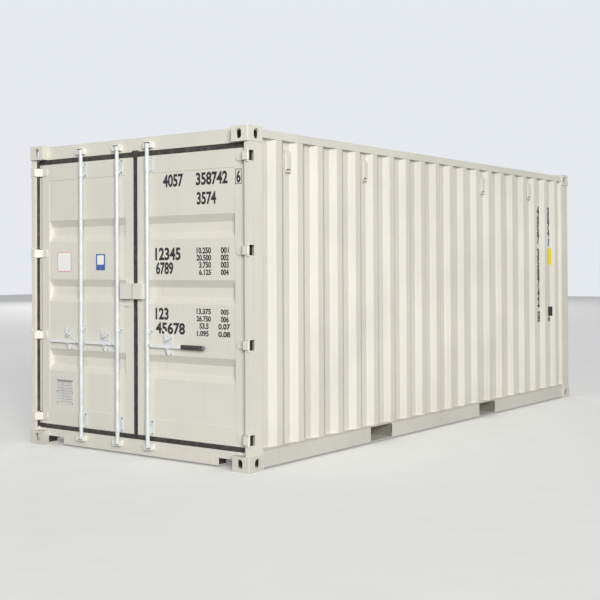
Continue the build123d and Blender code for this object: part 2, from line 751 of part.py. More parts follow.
def leaf_hinge(level):
    """A cranked strap from the leaf's stile to the knuckle on the corner pin."""
    low, high = level - HINGE_HEIGHT / 2, level + HINGE_HEIGHT / 2
    back = POST_FACE - HINGE_TO_POST
    face = back - HINGE_THICKNESS
    crank_high = POST_INSIDE - HINGE_TO_POST
    crank_low = LEAF_HINGE_EDGE - HINGE_TO_GASKET
    shift = HINGE_THICKNESS / 2
    outline = [
        (face, PIN_SIDE),
        (face, crank_high - shift),
        (LEAF_FACE - HINGE_THICKNESS, crank_low - shift),
        (LEAF_FACE - HINGE_THICKNESS, LEAF_HINGE_EDGE - HINGE_REACH),
        (LEAF_FACE, LEAF_HINGE_EDGE - HINGE_REACH),
        (LEAF_FACE, crank_low),
        (back, crank_high),
        (back, PIN_SIDE),
    ]
    strap = upright(outline, low, high)
    tips = [
        e
        for e in strap.edges()
        if e.center().Y < LEAF_HINGE_EDGE - HINGE_REACH + 1 and abs(e.center().Z - level) > HINGE_HEIGHT / 2 - 1
        and e.length < HINGE_THICKNESS + 1
    ]
    strap = fillet(tips, HINGE_END_RADIUS)
    strap += rod_z(KNUCKLE_RADIUS, low, high, PIN_X, PIN_SIDE)
    return strap - rod_z(PIN_RADIUS + PIN_CLEARANCE, low, high, PIN_X, PIN_SIDE)


def leaf_hinges():
    return Compound(children=[leaf_hinge(level) for level in HINGE_LEVELS])


# Bearings and retainers, drawn for a bar at y with its handle towards +Y
def saddle(y, back, low, high):
    """One round saddle that holds a bar off the leaf."""
    radius = BAR_RADIUS + BEARING_GAP + BEARING_WALL
    return rod_z(radius, low, high, BAR_X, y) + block((BAR_X, back), (y - radius, y + radius), (low, high))


def bearing(y, back, flange, low, high, saddles):
    """A flange plate on the leaf with saddles at the given low ends, bored for the bar."""
    bracket = block((back - BEARING_FLANGE_WALL, back), (y - flange, y + flange), (low, high))
    for start in saddles:
        bracket += saddle(y, back, start, start + BEARING_SADDLE)
    return bracket - rod_z(BAR_RADIUS + BEARING_GAP, low, high, BAR_X, y)


def bar_bearings(y):
    """The tall bearings near both ends of a bar and the short one above the handle."""
    top = LEAF_TOP - TALL_BEARING_MARGIN
    bottom = LEAF_BOTTOM + TALL_BEARING_MARGIN
    pieces = []
    for low, high in ((top - TALL_BEARING_HEIGHT, top), (bottom, bottom + TALL_BEARING_HEIGHT)):
        pieces.append(bearing(y, LEAF_FACE, BEARING_FLANGE, low, high, (low, high - BEARING_SADDLE)))
    low = MIDDLE_BEARING_Z - BEARING_SADDLE / 2
    pieces.append(bearing(y, PANEL_FACE, MIDDLE_BEARING_FLANGE, low, low + BEARING_SADDLE, (low,)))
    return pieces


def retainer(y, side, offset):
    """The plate and seat that carry a closed handle, with the pin of its catch."""
    centre = y + side * offset
    half = RETAINER_WIDTH / 2
    face = HANDLE_FACE + HANDLE_THICKNESS + HUB_EAR_GAP * 2
    plate_low = HANDLE_Z - RETAINER_FOOT_DROP
    piece = block(
        (PANEL_FACE - BEARING_FLANGE_WALL, PANEL_FACE),
        (centre - half, centre + half),
        (plate_low, HANDLE_Z + RETAINER_TOP_RISE),
    )
    seat_top = HANDLE_Z - HANDLE_HEIGHT / 2 - REST_GAP
    seat_half = RETAINER_SEAT_WIDTH / 2
    piece += block(
        (HANDLE_FACE, PANEL_FACE),
        (centre - seat_half, centre + seat_half),
        (seat_top - RETAINER_SEAT_WALL, seat_top),
    )
    gusset = [
        (PANEL_FACE, plate_low),
        (PANEL_FACE, seat_top),
        (HANDLE_FACE, seat_top),
        (HANDLE_FACE, seat_top - 2 * RETAINER_SEAT_WALL),
        (face, plate_low),
    ]
    web = RETAINER_SEAT_WALL / 2
    piece += crosswise(gusset, centre - web, centre + web)
    pivot = HANDLE_Z + CATCH_PIVOT_RISE
    piece += rod_x(CATCH_BOSS_RADIUS, CATCH_FACE + CATCH_WALL + REST_GAP, PANEL_FACE, centre, pivot)
    return piece + rod_x(CATCH_PIN_RADIUS, CATCH_FACE, PANEL_FACE, centre, pivot)


def leaf_bearings(bars):
    """All the bar bearings of one leaf."""
    pieces = []
    for n in bars:
        pieces += bar_bearings(BAR_OFFSETS[n])
    return Compound(children=pieces)


def leaf_retainers(bars):
    """All the handle retainers of one leaf."""
    return Compound(children=[retainer(BAR_OFFSETS[n], HANDLE_SIDES[n], RETAINER_OFFSETS[n]) for n in bars])


# Locking bars
def cam(y, side, low):
    """A cam on a bar's end, with its lobe on the handle's side."""
    high = low + CAM_HEIGHT
    half = CAM_LOBE_WIDTH / 2
    lobe_end = CAM_LOBE - half
    body = rod_z(CAM_RADIUS, low, high, BAR_X, y)
    body += block((BAR_X - half, BAR_X + half), (y, y + side * lobe_end), (low, high))
    return body + rod_z(half, low, high, BAR_X, y + side * lobe_end)


def locking_bar(y, side):
    """A tube with a cam at each end and a clevis for the handle."""
    bar = rod_z(BAR_RADIUS, BAR_BOTTOM, BAR_TOP, BAR_X, y)
    bar += cam(y, side, BAR_BOTTOM + CAM_SETBACK)
    bar += cam(y, side, BAR_TOP - CAM_SETBACK - CAM_HEIGHT)
    low, high = HANDLE_Z - HUB_HEIGHT / 2, HANDLE_Z + HUB_HEIGHT / 2
    bar += rod_z(HUB_RADIUS, low, high, BAR_X, y)
    pivot = y + side * HANDLE_PIVOT
    ear_radius = HANDLE_HEIGHT / 2
    fronts = (HANDLE_FACE - HUB_EAR_GAP - HUB_EAR_WALL, HANDLE_FACE + HANDLE_THICKNESS + HUB_EAR_GAP)
    for front in fronts:
        back = front + HUB_EAR_WALL
        bar += block((front, back), (y, pivot), (HANDLE_Z - ear_radius, HANDLE_Z + ear_radius))
        bar += rod_x(ear_radius, front, back, pivot, HANDLE_Z)
    bar += rod_x(HANDLE_PIN_RADIUS, fronts[0], fronts[1] + HUB_EAR_WALL, pivot, HANDLE_Z)
    bore = BAR_RADIUS - BAR_WALL
    return bar - rod_z(bore, BAR_BOTTOM, BAR_TOP, BAR_X, y)


def handle(y, side, reach):
    """A flat handle from its pivot beside the bar to its rounded end."""
    half = HANDLE_HEIGHT / 2
    back = HANDLE_FACE + HANDLE_THICKNESS
    pivot = y + side * HANDLE_PIVOT
    tip = y + side * (reach - half)
    piece = block((HANDLE_FACE, back), (pivot, tip), (HANDLE_Z - half, HANDLE_Z + half))
    piece += rod_x(half, HANDLE_FACE, back, pivot, HANDLE_Z)
    piece += rod_x(half, HANDLE_FACE, back, tip, HANDLE_Z)
    return piece - rod_x(HANDLE_PIN_RADIUS + PIN_CLEARANCE, HANDLE_FACE, back, pivot, HANDLE_Z)


def handle_grip(y, side):
    """The rubber sleeve on the long handle."""
    half = HANDLE_HEIGHT / 2
    spans = ((HANDLE_FACE, HANDLE_FACE + HANDLE_THICKNESS), (y + side * GRIP_START, y + side * GRIP_END))
    core = block(*spans, (HANDLE_Z - half, HANDLE_Z + half))
    sleeve = block(
        (HANDLE_FACE - GRIP_WALL, HANDLE_FACE + HANDLE_THICKNESS + GRIP_WALL),
        spans[1],
        (HANDLE_Z - half - GRIP_WALL, HANDLE_Z + half + GRIP_WALL),
    )
    return fillet(sleeve.edges().filter_by(Axis.Y), GRIP_WALL) - core


def catch(y, side, offset):
    """A flat catch, turned up clear of the handle."""
    centre = y + side * offset
    pivot = HANDLE_Z + CATCH_PIVOT_RISE
    back = CATCH_FACE + CATCH_WALL
    half = CATCH_WIDTH / 2
    end = pivot + CATCH_LENGTH - half
    piece = rod_x(CATCH_HEAD_RADIUS, CATCH_FACE, back, centre, pivot)
    piece += block((CATCH_FACE, back), (centre - half, centre + half), (pivot, end))
    piece += rod_x(half, CATCH_FACE, back, centre, end)
    return piece - rod_x(CATCH_PIN_RADIUS + PIN_CLEARANCE, CATCH_FACE, back, centre, pivot)


# Keepers
def keeper(y, side, low, high, bridge_low):
    """Two cheeks beside a cam, on a base plate, joined by a bridge beyond the bar's end."""
    wide = CAM_LOBE + KEEPER_GAP
    narrow = CAM_RADIUS + KEEPER_GAP
    lip = REAR + KEEPER_REACH_IN
    span = sorted((y + side * (wide + KEEPER_WALL), y - side * (narrow + KEEPER_WALL)))
    piece = block((FRAME_FACE - KEEPER_BASE, FRAME_FACE), span, (low, high))
    piece += block((lip, FRAME_FACE), (y + side * wide, y + side * (wide + KEEPER_WALL)), (low, high))
    piece += block((lip, FRAME_FACE), (y - side * narrow, y - side * (narrow + KEEPER_WALL)), (low, high))
    return piece + block((lip, FRAME_FACE), span, (bridge_low, bridge_low + KEEPER_WALL))


def cam_keepers():
    """A keeper on the header and one on the sill for each bar."""
    pieces = []
    for y, side in zip(BAR_OFFSETS, HANDLE_SIDES):
        top = BAR_TOP + KEEPER_GAP
        pieces.append(keeper(y, side, BAR_TOP - CAM_HEIGHT - CAM_SETBACK, top + KEEPER_WALL, top))
        foot = BAR_BOTTOM - KEEPER_GAP - KEEPER_WALL
        pieces.append(keeper(y, side, foot, BAR_BOTTOM + CAM_SETBACK + CAM_HEIGHT - KEEPER_WALL, foot))
    return Compound(children=pieces)


# Lock box
def lock_box(reach):
    """Half of the box that shields the padlock, open at the seam and underneath."""
    face = REAR + LOCK_BOX_FACE_IN
    box = block((face, LEAF_FACE), (LOCK_BOX_SEAM_GAP, reach), (LOCK_BOX_BOTTOM, LOCK_BOX_TOP))
    return box - block(
        (face + LOCK_BOX_WALL, LEAF_FACE),
        (LOCK_BOX_SEAM_GAP, reach - LOCK_BOX_WALL),
        (LOCK_BOX_BOTTOM, LOCK_BOX_TOP - LOCK_BOX_WALL),
    )


def nodes():
    """Every node's name and shape."""
    parts = {}
    for end, end_name in ((-1, "rear"), (1, "front")):
        for top, level_name in ((False, "bottom"), (True, "top")):
            pair = [casting(end, side, top) for side in (-1, 1)]
            parts[f"{end_name}_{level_name}_castings"] = Compound(children=pair)
    for side, side_name in ((1, "left"), (-1, "right")):
        parts[f"rear_post_{side_name}"] = rear_post(side)
        parts[f"front_post_{side_name}"] = front_post(side)
        parts[f"top_side_rail_{side_name}"] = top_side_rail(side)
        parts[f"bottom_side_rail_{side_name}"] = bottom_side_rail(side)
        parts[f"side_wall_{side_name}"] = side_wall(side)
        parts[f"door_{side_name}_frame"] = sided(leaf_frame(), side)
        parts[f"door_{side_name}_panel"] = sided(leaf_panel(), side)
        parts[f"door_{side_name}_gasket"] = sided(leaf_gasket(), side)
        parts[f"door_{side_name}_hinges"] = sided(leaf_hinges(), side)
    for side_name, bars in (("left", (0, 1)), ("right", (2,))):
        parts[f"door_{side_name}_bearings"] = leaf_bearings(bars)
        parts[f"door_{side_name}_retainers"] = leaf_retainers(bars)
    parts["lock_box_left"] = lock_box(LOCK_BOX_REACHES[0])
    parts["lock_box_right"] = other_side(lock_box(LOCK_BOX_REACHES[1]))
    parts["door_header"] = door_header()
    parts["rain_lip"] = rain_lip()
    parts["door_sill"] = door_sill()
    parts["threshold"] = threshold()
    parts["front_bottom_rail"] = front_rail(BOTTOM_RAIL_CLEARANCE, BOTTOM_RAIL_TOP)
    parts["front_top_rail"] = front_rail(TOP_RAIL_BOTTOM, TOP_RAIL_TOP)
    parts["front_wall"] = front_wall()
    parts["roof"] = roof()
    parts["front_header_plate"] = front_header_plate()
    parts["floor"] = floor()
    parts["cross_members"] = cross_members()
    parts["fork_pocket_walls"] = fork_pocket_walls()
    parts["fork_pocket_tops"] = fork_pocket_tops()
    parts["fork_pocket_rims"] = fork_pocket_rims()
    parts["side_vents"] = side_vents()
    parts["cam_keepers"] = cam_keepers()
    for n, (y, side) in enumerate(zip(BAR_OFFSETS, HANDLE_SIDES)):
        parts[f"locking_bar_{n + 1}"] = locking_bar(y, side)
        parts[f"handle_{n + 1}"] = handle(y, side, HANDLE_REACHES[n])
        parts[f"catch_{n + 1}"] = catch(y, side, RETAINER_OFFSETS[n])
    parts["handle_grip"] = handle_grip(BAR_OFFSETS[2], HANDLE_SIDES[2])
    return parts


os.makedirs("parts", exist_ok=True)
for name, shape in nodes().items():
    export_step(shape, f"parts/{name}.step")
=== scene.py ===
"""A twenty-foot dry-freight container: the finish of every solid, and its markings, fasteners and seals.

Everything is in metres in the model's own frame. X runs along the container with the doors at -X,
Y runs across it with the left leaf on +Y, and Z is up from the ground.
"""
import enum
import logging
import math
from dataclasses import dataclass
from functools import cache

import bmesh
import bpy
import numpy as np
from mathutils import Matrix, Vector


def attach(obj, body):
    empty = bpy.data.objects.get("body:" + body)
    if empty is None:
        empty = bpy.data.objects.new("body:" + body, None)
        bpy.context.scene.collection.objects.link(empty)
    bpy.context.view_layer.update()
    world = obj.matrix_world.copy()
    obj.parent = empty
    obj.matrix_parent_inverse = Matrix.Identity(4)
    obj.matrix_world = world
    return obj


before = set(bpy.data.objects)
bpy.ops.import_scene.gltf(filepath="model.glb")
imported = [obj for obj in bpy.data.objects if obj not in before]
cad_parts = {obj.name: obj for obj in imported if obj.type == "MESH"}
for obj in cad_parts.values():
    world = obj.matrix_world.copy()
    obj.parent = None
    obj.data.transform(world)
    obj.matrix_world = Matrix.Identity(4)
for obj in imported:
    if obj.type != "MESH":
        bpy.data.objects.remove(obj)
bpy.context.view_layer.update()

LOG = logging.getLogger("container")
MM = 0.001

# How far out a film's foot and face and a bolt head's foot lie, in millimetres.
FILM_FOOT, FILM_FACE, HEAD_FOOT = -0.3, 0.4, -0.4
# The angle in degrees from which an edge on a weld bead or a wire stays sharp.
BEAD_SHARP = 60.0
# The inputs and the output of a Mix node that are a colour's, by number, because their names repeat.
MIX_SHARE, MIX_FIRST, MIX_SECOND, MIX_RESULT = 0, 6, 7, 2
# The up and the out direction of a face, in its own right, up and out.
FACE_UP, FACE_OUT = np.array([0.0, 1.0, 0.0]), np.array([0.0, 0.0, 1.0])

Socket = bpy.types.NodeSocket
Key = str | int
Pair = tuple[float, float]
Triple = tuple[float, float, float]
Colour = Triple


class Body(enum.Enum):
    """The bodies of the model that the new pieces ride on."""

    CONTAINER = "container"
    LEFT_LEAF = "door_left"
    RIGHT_LEAF = "door_right"
    BAR_1 = "bar_1"
    BAR_2 = "bar_2"
    BAR_3 = "bar_3"
    HANDLE_3 = "handle_3"


class Slot(enum.Enum):
    """The material slots of the record."""

    WALL = "wall_paint"
    DOOR = "door_paint"
    BASE = "base_paint"
    ZINC = "galvanised_steel"
    RUBBER = "seal_rubber"
    FLOOR = "floor_plywood"


def linear(red: int, green: int, blue: int) -> Colour:
    """Returns a linear colour for an sRGB one: a straight line near black and a 2.4 power above.

    Args:
        red, green, blue: the sRGB values, 0 to 255.

    Returns:
        The three linear values, 0 to 1.
    """
    share = np.array([red, green, blue]) / 255
    value = np.where(share <= 0.04045, share / 12.92, ((share + 0.055) / 1.055) ** 2.4)
    return tuple(float(v) for v in value)


class Nodes:
    """A node tree, with short ways to add and join its nodes."""

    def __init__(self, tree: bpy.types.NodeTree) -> None:
        """Takes a tree and empties it."""
        self.tree = tree
        self.tree.nodes.clear()

    def add(self, kind: str, **settings: object) -> bpy.types.Node:
        """Adds a node.

        Args:
            kind: the node's type.
            settings: its properties.

        Returns:
            The new node.
        """
        node = self.tree.nodes.new(kind)
        for name, value in settings.items():
            setattr(node, name, value)
        return node

    def join(self, source: object, target: Socket) -> None:
        """Feeds an input.

        Args:
            source: a socket to link, or the number, vector or colour to write.
            target: the input.
        """
        if isinstance(source, Socket):
            self.tree.links.new(source, target)
        elif target.type == "RGBA":
            target.default_value = (*source, 1.0)
        else:
            target.default_value = source

    def fed(self, kind: str, output: Key, feeds: dict[Key, object], **settings: object) -> Socket:
        """Adds a node and feeds it.

        Args:
            kind: the node's type.
            output: the output that is wanted, by its name or number.
            feeds: what goes into its inputs, by their names or numbers.
            settings: its properties.

        Returns:
            The output.
        """
        node = self.add(kind, **settings)
        for name, source in feeds.items():
            self.join(source, node.inputs[name])
        return node.outputs[output]

    def sum(self, operation: str, first: object, second: object) -> Socket:
        """Returns one sum of two values, such as MULTIPLY or MAXIMUM, kept from 0 to 1."""
        feeds = {0: first, 1: second}
        return self.fed("ShaderNodeMath", "Value", feeds, operation=operation, use_clamp=True)

    def seen_rays(self) -> Socket:
        """Finds the rays that show a thing.

        Returns:
            1 for camera, glossy and transmission rays, and 0 for the others.
        """
        path = self.add("ShaderNodeLightPath").outputs
        shone = self.sum("MAXIMUM", path["Is Glossy Ray"], path["Is Transmission Ray"])
        return self.sum("MAXIMUM", path["Is Camera Ray"], shone)


class Sheet(Nodes):
    """The node sheet of one material, which reads the place on the object."""

    def __init__(self, name: str) -> None:
        """Starts a material with a Principled shader and the place on the object as its coordinate.

        Args:
            name: the material's name.
        """
        self.material = bpy.data.materials.new(name)
        self.material.use_nodes = True
        super().__init__(self.material.node_tree)
        self.shader = self.add("ShaderNodeBsdfPrincipled")
        self.join(self.shader.outputs["BSDF"], self.add("ShaderNodeOutputMaterial").inputs["Surface"])
        self.place: Socket = self.add("ShaderNodeTexCoord").outputs["Object"]

    def uniform(self, **values: object) -> None:
        """Sets what is the same all over the surface on the shader's own sockets."""
        for name, value in values.items():
            self.shader.inputs[name.replace("_", " ")].default_value = value

    def normal(self) -> Socket:
        """Returns the surface's true normal."""
        return self.add("ShaderNodeNewGeometry").outputs["Normal"]

    def stretched(self, scale: Triple, shift: float = 0.0) -> Socket:
        """Returns the place on the object, scaled along each axis and then moved by `shift` along all."""
        feeds = {"Vector": self.place, "Scale": scale, "Location": (shift, shift, shift)}
        return self.fed("ShaderNodeMapping", "Vector", feeds)

    def noise(self, scale: float, detail: float = 2.0, at: Socket | None = None) -> Socket:
        """Returns noise from 0 to 1 with about `scale` lumps to a metre and `detail` finer layers."""
        feeds = {"Vector": at or self.place, "Scale": scale, "Detail": detail}
        return self.fed("ShaderNodeTexNoise", "Fac", feeds)

    def cells(self, scale: float, at: Socket) -> Socket:
        """Returns a random grey for each cell of a crystal pattern, `scale` cells to a metre."""
        colour = self.fed("ShaderNodeTexVoronoi", "Color", {"Vector": at, "Scale": scale})
        return self.fed("ShaderNodeSeparateColor", "Red", {"Color": colour})

    def levels(self, value: Socket, low: float, high: float, start: float = 0.0, end: float = 1.0) -> Socket:
        """Returns the value spread smoothly, so that `low` to `high` becomes `start` to `end`."""
        feeds = {"Value": value, "From Min": low, "From Max": high, "To Min": start, "To Max": end}
        return self.fed("ShaderNodeMapRange", "Result", feeds, interpolation_type="SMOOTHSTEP")

    def mix(self, share: object, first: object, second: object) -> Socket:
        """Returns the colour that is `share` of the way from the first to the second."""
        feeds = {MIX_SHARE: share, MIX_FIRST: first, MIX_SECOND: second}
        return self.fed("ShaderNodeMix", MIX_RESULT, feeds, data_type="RGBA")

    def laid(self, under: object, over: object, cover: Socket, strength: float) -> Socket:
        """Returns one colour laid over another by `cover` times `strength`."""
        return self.mix(self.sum("MULTIPLY", cover, strength), under, over)

    def height(self) -> Socket:
        """Returns the height above the ground in metres."""
        return self.fed("ShaderNodeSeparateXYZ", "Z", {"Vector": self.place})

    def facing_up(self) -> Socket:
        """Returns how far a surface faces up, from 0 on a wall to 1 on a floor."""
        return self.levels(self.fed("ShaderNodeSeparateXYZ", "Z", {"Vector": self.normal()}), 0.2, 0.9)

    def rounded(self, radius: float) -> Socket:
        """Returns the normal with the edges rounded by `radius` metres."""
        return self.fed("ShaderNodeBevel", "Normal", {"Radius": radius}, samples=4)

    def edges(self, radius: float) -> Socket:
        """Finds the edges of a piece.

        Args:
            radius: how far from an edge it reaches, in metres.

        Returns:
            The cosine between the rounded and the true normal, spread to 1 at an edge and 0 away from it.
        """
        normals = {0: self.rounded(radius), 1: self.normal()}
        cosine = self.fed("ShaderNodeVectorMath", "Value", normals, operation="DOT_PRODUCT")
        return self.levels(cosine, 0.999, 0.93)

    def bump(self, value: Socket, distance: float, under: Socket | None = None) -> Socket:
        """Returns a normal raised by `distance` metres where the value is 1, over the one under it."""
        feeds = {"Height": value, "Distance": distance} | ({} if under is None else {"Normal": under})
        return self.fed("ShaderNodeBump", "Normal", feeds)

    def finish(self, colour: object, roughness: object, normal: Socket | None = None) -> bpy.types.Material:
        """Feeds the shader.

        Args:
            colour, roughness: what its two sockets get.
            normal: a raised or rounded normal.

        Returns:
            The material.
        """
        self.join(colour, self.shader.inputs["Base Color"])
        self.join(roughness, self.shader.inputs["Roughness"])
        if normal is not None:
            self.join(normal, self.shader.inputs["Normal"])
        return self.material


@dataclass(frozen=True)
class Finish:
    """What a surface is, under the name of its material."""

    name: str

    @cache
    def material(self) -> bpy.types.Material:
        """Returns the material, which is built once."""
        return self.dressed(Sheet(self.name))

    def dressed(self, sheet: Sheet) -> bpy.types.Material:
        """Builds the material on its sheet, in the way of each kind of finish."""
        raise NotImplementedError


@dataclass(frozen=True)
class Enamel(Finish):
    """Sprayed enamel on steel: cloudy in colour, streaked down from its top, and rubbed at its edges."""

    colour: Colour
    dust: Colour = linear(168, 158, 138)
    bare: Colour = linear(176, 170, 156)
    cloud: float = 0.05
    cloud_scale: float = 1.3
    streak: float = 0.16
    broad_run: Triple = (9.0, 9.0, 0.35)
    thin_run: Triple = (46.0, 46.0, 0.9)
    soil: float = 0.2
    soil_height: float = 0.35
    speck_scale: float = 60.0
    wear: float = 0.55
    wear_scale: float = 85.0
    gloss: float = 0.42
    gloss_spread: float = 0.12
    shine: float = 0.4
    peel: float = 0.00012
    peel_scale: float = 420.0
    wave: float = 0.0012
    wave_scale: float = 5.0
    edge_radius: float = 0.004
    seed: float = 0.0

    def dressed(self, sheet: Sheet) -> bpy.types.Material:
        """Builds the material.

        Args:
            sheet: its node sheet.

        Returns:
            The material, with cloudy colour, rain streaks, soil near the ground and rubbed edges.
        """
        drift = sheet.stretched((1.0, 1.0, 1.0), self.seed)
        cloud = sheet.noise(self.cloud_scale, 4.0, drift)
        shade = tuple(c * (1 - 2 * self.cloud) for c in self.colour)
        paint = sheet.mix(sheet.levels(cloud, 0.3, 0.7), shade, self.colour)
        broad = sheet.noise(1.0, 3.0, sheet.stretched(self.broad_run, self.seed))
        thin = sheet.noise(1.0, 2.0, sheet.stretched(self.thin_run, self.seed + 7))
        wet = sheet.sum("MULTIPLY", sheet.levels(broad, 0.5, 0.78), sheet.levels(thin, 0.4, 0.75))
        paint = sheet.laid(paint, self.dust, wet, self.streak * 2)
        speck = sheet.noise(self.speck_scale, 3.0, drift)
        low = sheet.levels(sheet.height(), self.soil_height, 0.0)
        splashed = sheet.sum("MULTIPLY", low, sheet.levels(speck, 0.25, 0.8))
        settled = sheet.sum("MULTIPLY", sheet.facing_up(), sheet.levels(speck, 0.3, 0.7))
        soil = sheet.sum("MULTIPLY", sheet.sum("MAXIMUM", splashed, settled), self.soil)
        paint = sheet.mix(soil, paint, self.dust)
        rub = sheet.levels(sheet.noise(self.wear_scale, 4.0, drift), 0.42, 0.66)
        worn = sheet.sum("MULTIPLY", sheet.edges(self.edge_radius), rub)
        paint = sheet.laid(paint, self.bare, worn, self.wear)
        gloss = sheet.levels(cloud, 0.2, 0.8, self.gloss, self.gloss + self.gloss_spread)
        rough = sheet.sum("ADD", gloss, soil)
        peel = sheet.bump(sheet.noise(self.peel_scale), self.peel, sheet.rounded(self.edge_radius / 2))
        sheet.uniform(Specular_IOR_Level=self.shine)
        waves = sheet.bump(sheet.noise(self.wave_scale, 1.0, drift), self.wave, peel)
        return sheet.finish(paint, rough, waves)


@dataclass(frozen=True)
class Zinc(Finish):
    """Hot-dip zinc on steel, with a crystal pattern, white bloom and bright rubbed edges."""

    colour: Colour = linear(212, 217, 216)
    bloom: Colour = linear(222, 226, 225)
    grey: Colour = linear(192, 197, 197)
    stain: Colour = linear(160, 152, 136)
    crystal_scale: float = 120.0
    bloom_scale: float = 14.0
    bloom_share: float = 0.7
    stain_scale: float = 38.0
    stain_share: float = 0.12
    metal: float = 0.08
    gloss: float = 0.4
    gloss_spread: float = 0.16
    grain: float = 0.00012
    grain_scale: float = 300.0
    wear: float = 0.5
    wear_radius: float = 0.0025
    edge_radius: float = 0.0015
    seed: float = 0.0

    def dressed(self, sheet: Sheet) -> bpy.types.Material:
        """Builds the material.

        Args:
            sheet: its node sheet.

        Returns:
            The material, whose crystals differ in grey and in gloss.
        """
        drift = sheet.stretched((1.0, 1.0, 1.0), self.seed)
        crystal = sheet.cells(self.crystal_scale, drift)
        zinc = sheet.mix(sheet.levels(crystal, 0.0, 1.0, 0.0, 0.5), self.colour, self.grey)
        cloud = sheet.levels(sheet.noise(self.bloom_scale, 4.0, drift), 0.45, 0.7)
        zinc = sheet.laid(zinc, self.bloom, cloud, self.bloom_share)
        stained = sheet.levels(sheet.noise(self.stain_scale, 5.0, drift), 0.62, 0.75)
        zinc = sheet.laid(zinc, self.stain, stained, self.stain_share)
        zinc = sheet.laid(zinc, self.bloom, sheet.edges(self.wear_radius), self.wear)
        rough = sheet.levels(crystal, 0.0, 1.0, self.gloss, self.gloss + self.gloss_spread)
        sheet.uniform(Metallic=self.metal, Specular_IOR_Level=0.5)
        grain = sheet.bump(sheet.noise(self.grain_scale, 3.0), self.grain, sheet.rounded(self.edge_radius))
        return sheet.finish(zinc, rough, grain)


@dataclass(frozen=True)
class Rubber(Finish):
    """Black weatherstrip rubber, greyed by dust and light."""

    colour: Colour = linear(52, 49, 48)
    dust: Colour = linear(112, 106, 99)
    dusty: float = 0.5
    patch_scale: float = 22.0
    wear_radius: float = 0.002
    shine: float = 0.3
    rough: Pair = (0.55, 0.85)
    grain: float = 0.0002
    grain_scale: float = 900.0
    edge_radius: float = 0.001

    def dressed(self, sheet: Sheet) -> bpy.types.Material:
        """Builds the material.

        Args:
            sheet: its node sheet.

        Returns:
            The material, dusty in patches and at its edges, with the fine grain of the mould.
        """
        patch = sheet.levels(sheet.noise(self.patch_scale, 5.0), 0.35, 0.75)
        rub = sheet.sum("MAXIMUM", patch, sheet.edges(self.wear_radius))
        colour = sheet.laid(self.colour, self.dust, rub, self.dusty)
        grain = sheet.bump(sheet.noise(self.grain_scale), self.grain, sheet.rounded(self.edge_radius))
        sheet.uniform(Specular_IOR_Level=self.shine)
        return sheet.finish(colour, sheet.levels(patch, 0.0, 1.0, *self.rough), grain)


@dataclass(frozen=True)
class Plywood(Finish):
    """Oiled marine plywood: long grain, boards with dark joints, and scuffs."""

    board: float = 1.16
    light: Colour = linear(150, 104, 64)
    dark: Colour = linear(96, 62, 38)
    pale: Colour = linear(168, 128, 88)
    scuffed: Colour = linear(182, 160, 132)
    worn: Colour = linear(190, 160, 120)
    gap: Colour = linear(40, 30, 22)
    fibres: Triple = (2.2, 70.0, 70.0)
    tones: Triple = (0.6, 5.0, 5.0)
    joint_share: float = 0.006
    scuff_scale: float = 18.0
    wear: float = 0.4
    wear_radius: float = 0.003
    shine: float = 0.35
    relief: float = 0.0004

    def dressed(self, sheet: Sheet) -> bpy.types.Material:
        """Builds the material.

        Args:
            sheet: its node sheet.

        Returns:
            The material, with its grain along X and a joint every board's length.
        """
        grain = sheet.noise(1.0, 6.0, sheet.stretched(self.fibres))
        tone = sheet.noise(1.0, 2.0, sheet.stretched(self.tones, 3.0))
        wood = sheet.mix(sheet.levels(grain, 0.3, 0.7), self.dark, self.light)
        wood = sheet.mix(sheet.levels(tone, 0.3, 0.8, 0.0, 0.5), wood, self.pale)
        along = {"Vector": sheet.stretched((math.pi / 10 / self.board,) * 3)}
        bands = {"wave_type": "BANDS", "bands_direction": "X", "wave_profile": "SAW"}
        joint = sheet.levels(sheet.fed("ShaderNodeTexWave", "Fac", along, **bands), self.joint_share, 0.0)
        scuff = sheet.levels(sheet.noise(self.scuff_scale, 6.0), 0.6, 0.72)
        wood = sheet.laid(wood, self.scuffed, scuff, self.wear)
        wood = sheet.laid(wood, self.worn, sheet.edges(self.wear_radius), self.wear)
        wood = sheet.mix(joint, wood, self.gap)
        sheet.uniform(Specular_IOR_Level=self.shine)
        return sheet.finish(wood, sheet.levels(grain, 0.2, 0.8, 0.45, 0.7), sheet.bump(grain, self.relief))


@dataclass(frozen=True)
class Film(Finish):
    """Self-adhesive film or printing ink: one colour, slightly faded, with lifted and rubbed edges."""

    colour: Colour
    gloss: float = 0.38
    gloss_spread: float = 0.15
    fade: float = 0.12
    faded: float = 0.62
    patch_scale: float = 34.0
    speck: Colour = linear(170, 164, 150)
    speck_scale: float = 420.0
    speck_share: float = 0.25
    rubbed: Colour = linear(190, 186, 174)
    rub_share: float = 0.3
    rub_radius: float = 0.0015
    ripple: float = 0.0002
    ripple_scale: float = 90.0

    def dressed(self, sheet: Sheet) -> bpy.types.Material:
        """Builds the material.

        Args:
            sheet: its node sheet.

        Returns:
            The material, with faded patches and a faint ripple.
        """
        pale = tuple(c + (self.faded - c) * self.fade for c in self.colour)
        patch = sheet.levels(sheet.noise(self.patch_scale, 5.0), 0.35, 0.7)
        speck = sheet.levels(sheet.noise(self.speck_scale), 0.66, 0.78)
        colour = sheet.mix(patch, self.colour, pale)
        colour = sheet.laid(colour, self.speck, speck, self.speck_share)
        colour = sheet.laid(colour, self.rubbed, sheet.edges(self.rub_radius), self.rub_share)
        rough = sheet.levels(patch, 0.0, 1.0, self.gloss, self.gloss + self.gloss_spread)
        return sheet.finish(colour, rough, sheet.bump(sheet.noise(self.ripple_scale), self.ripple))


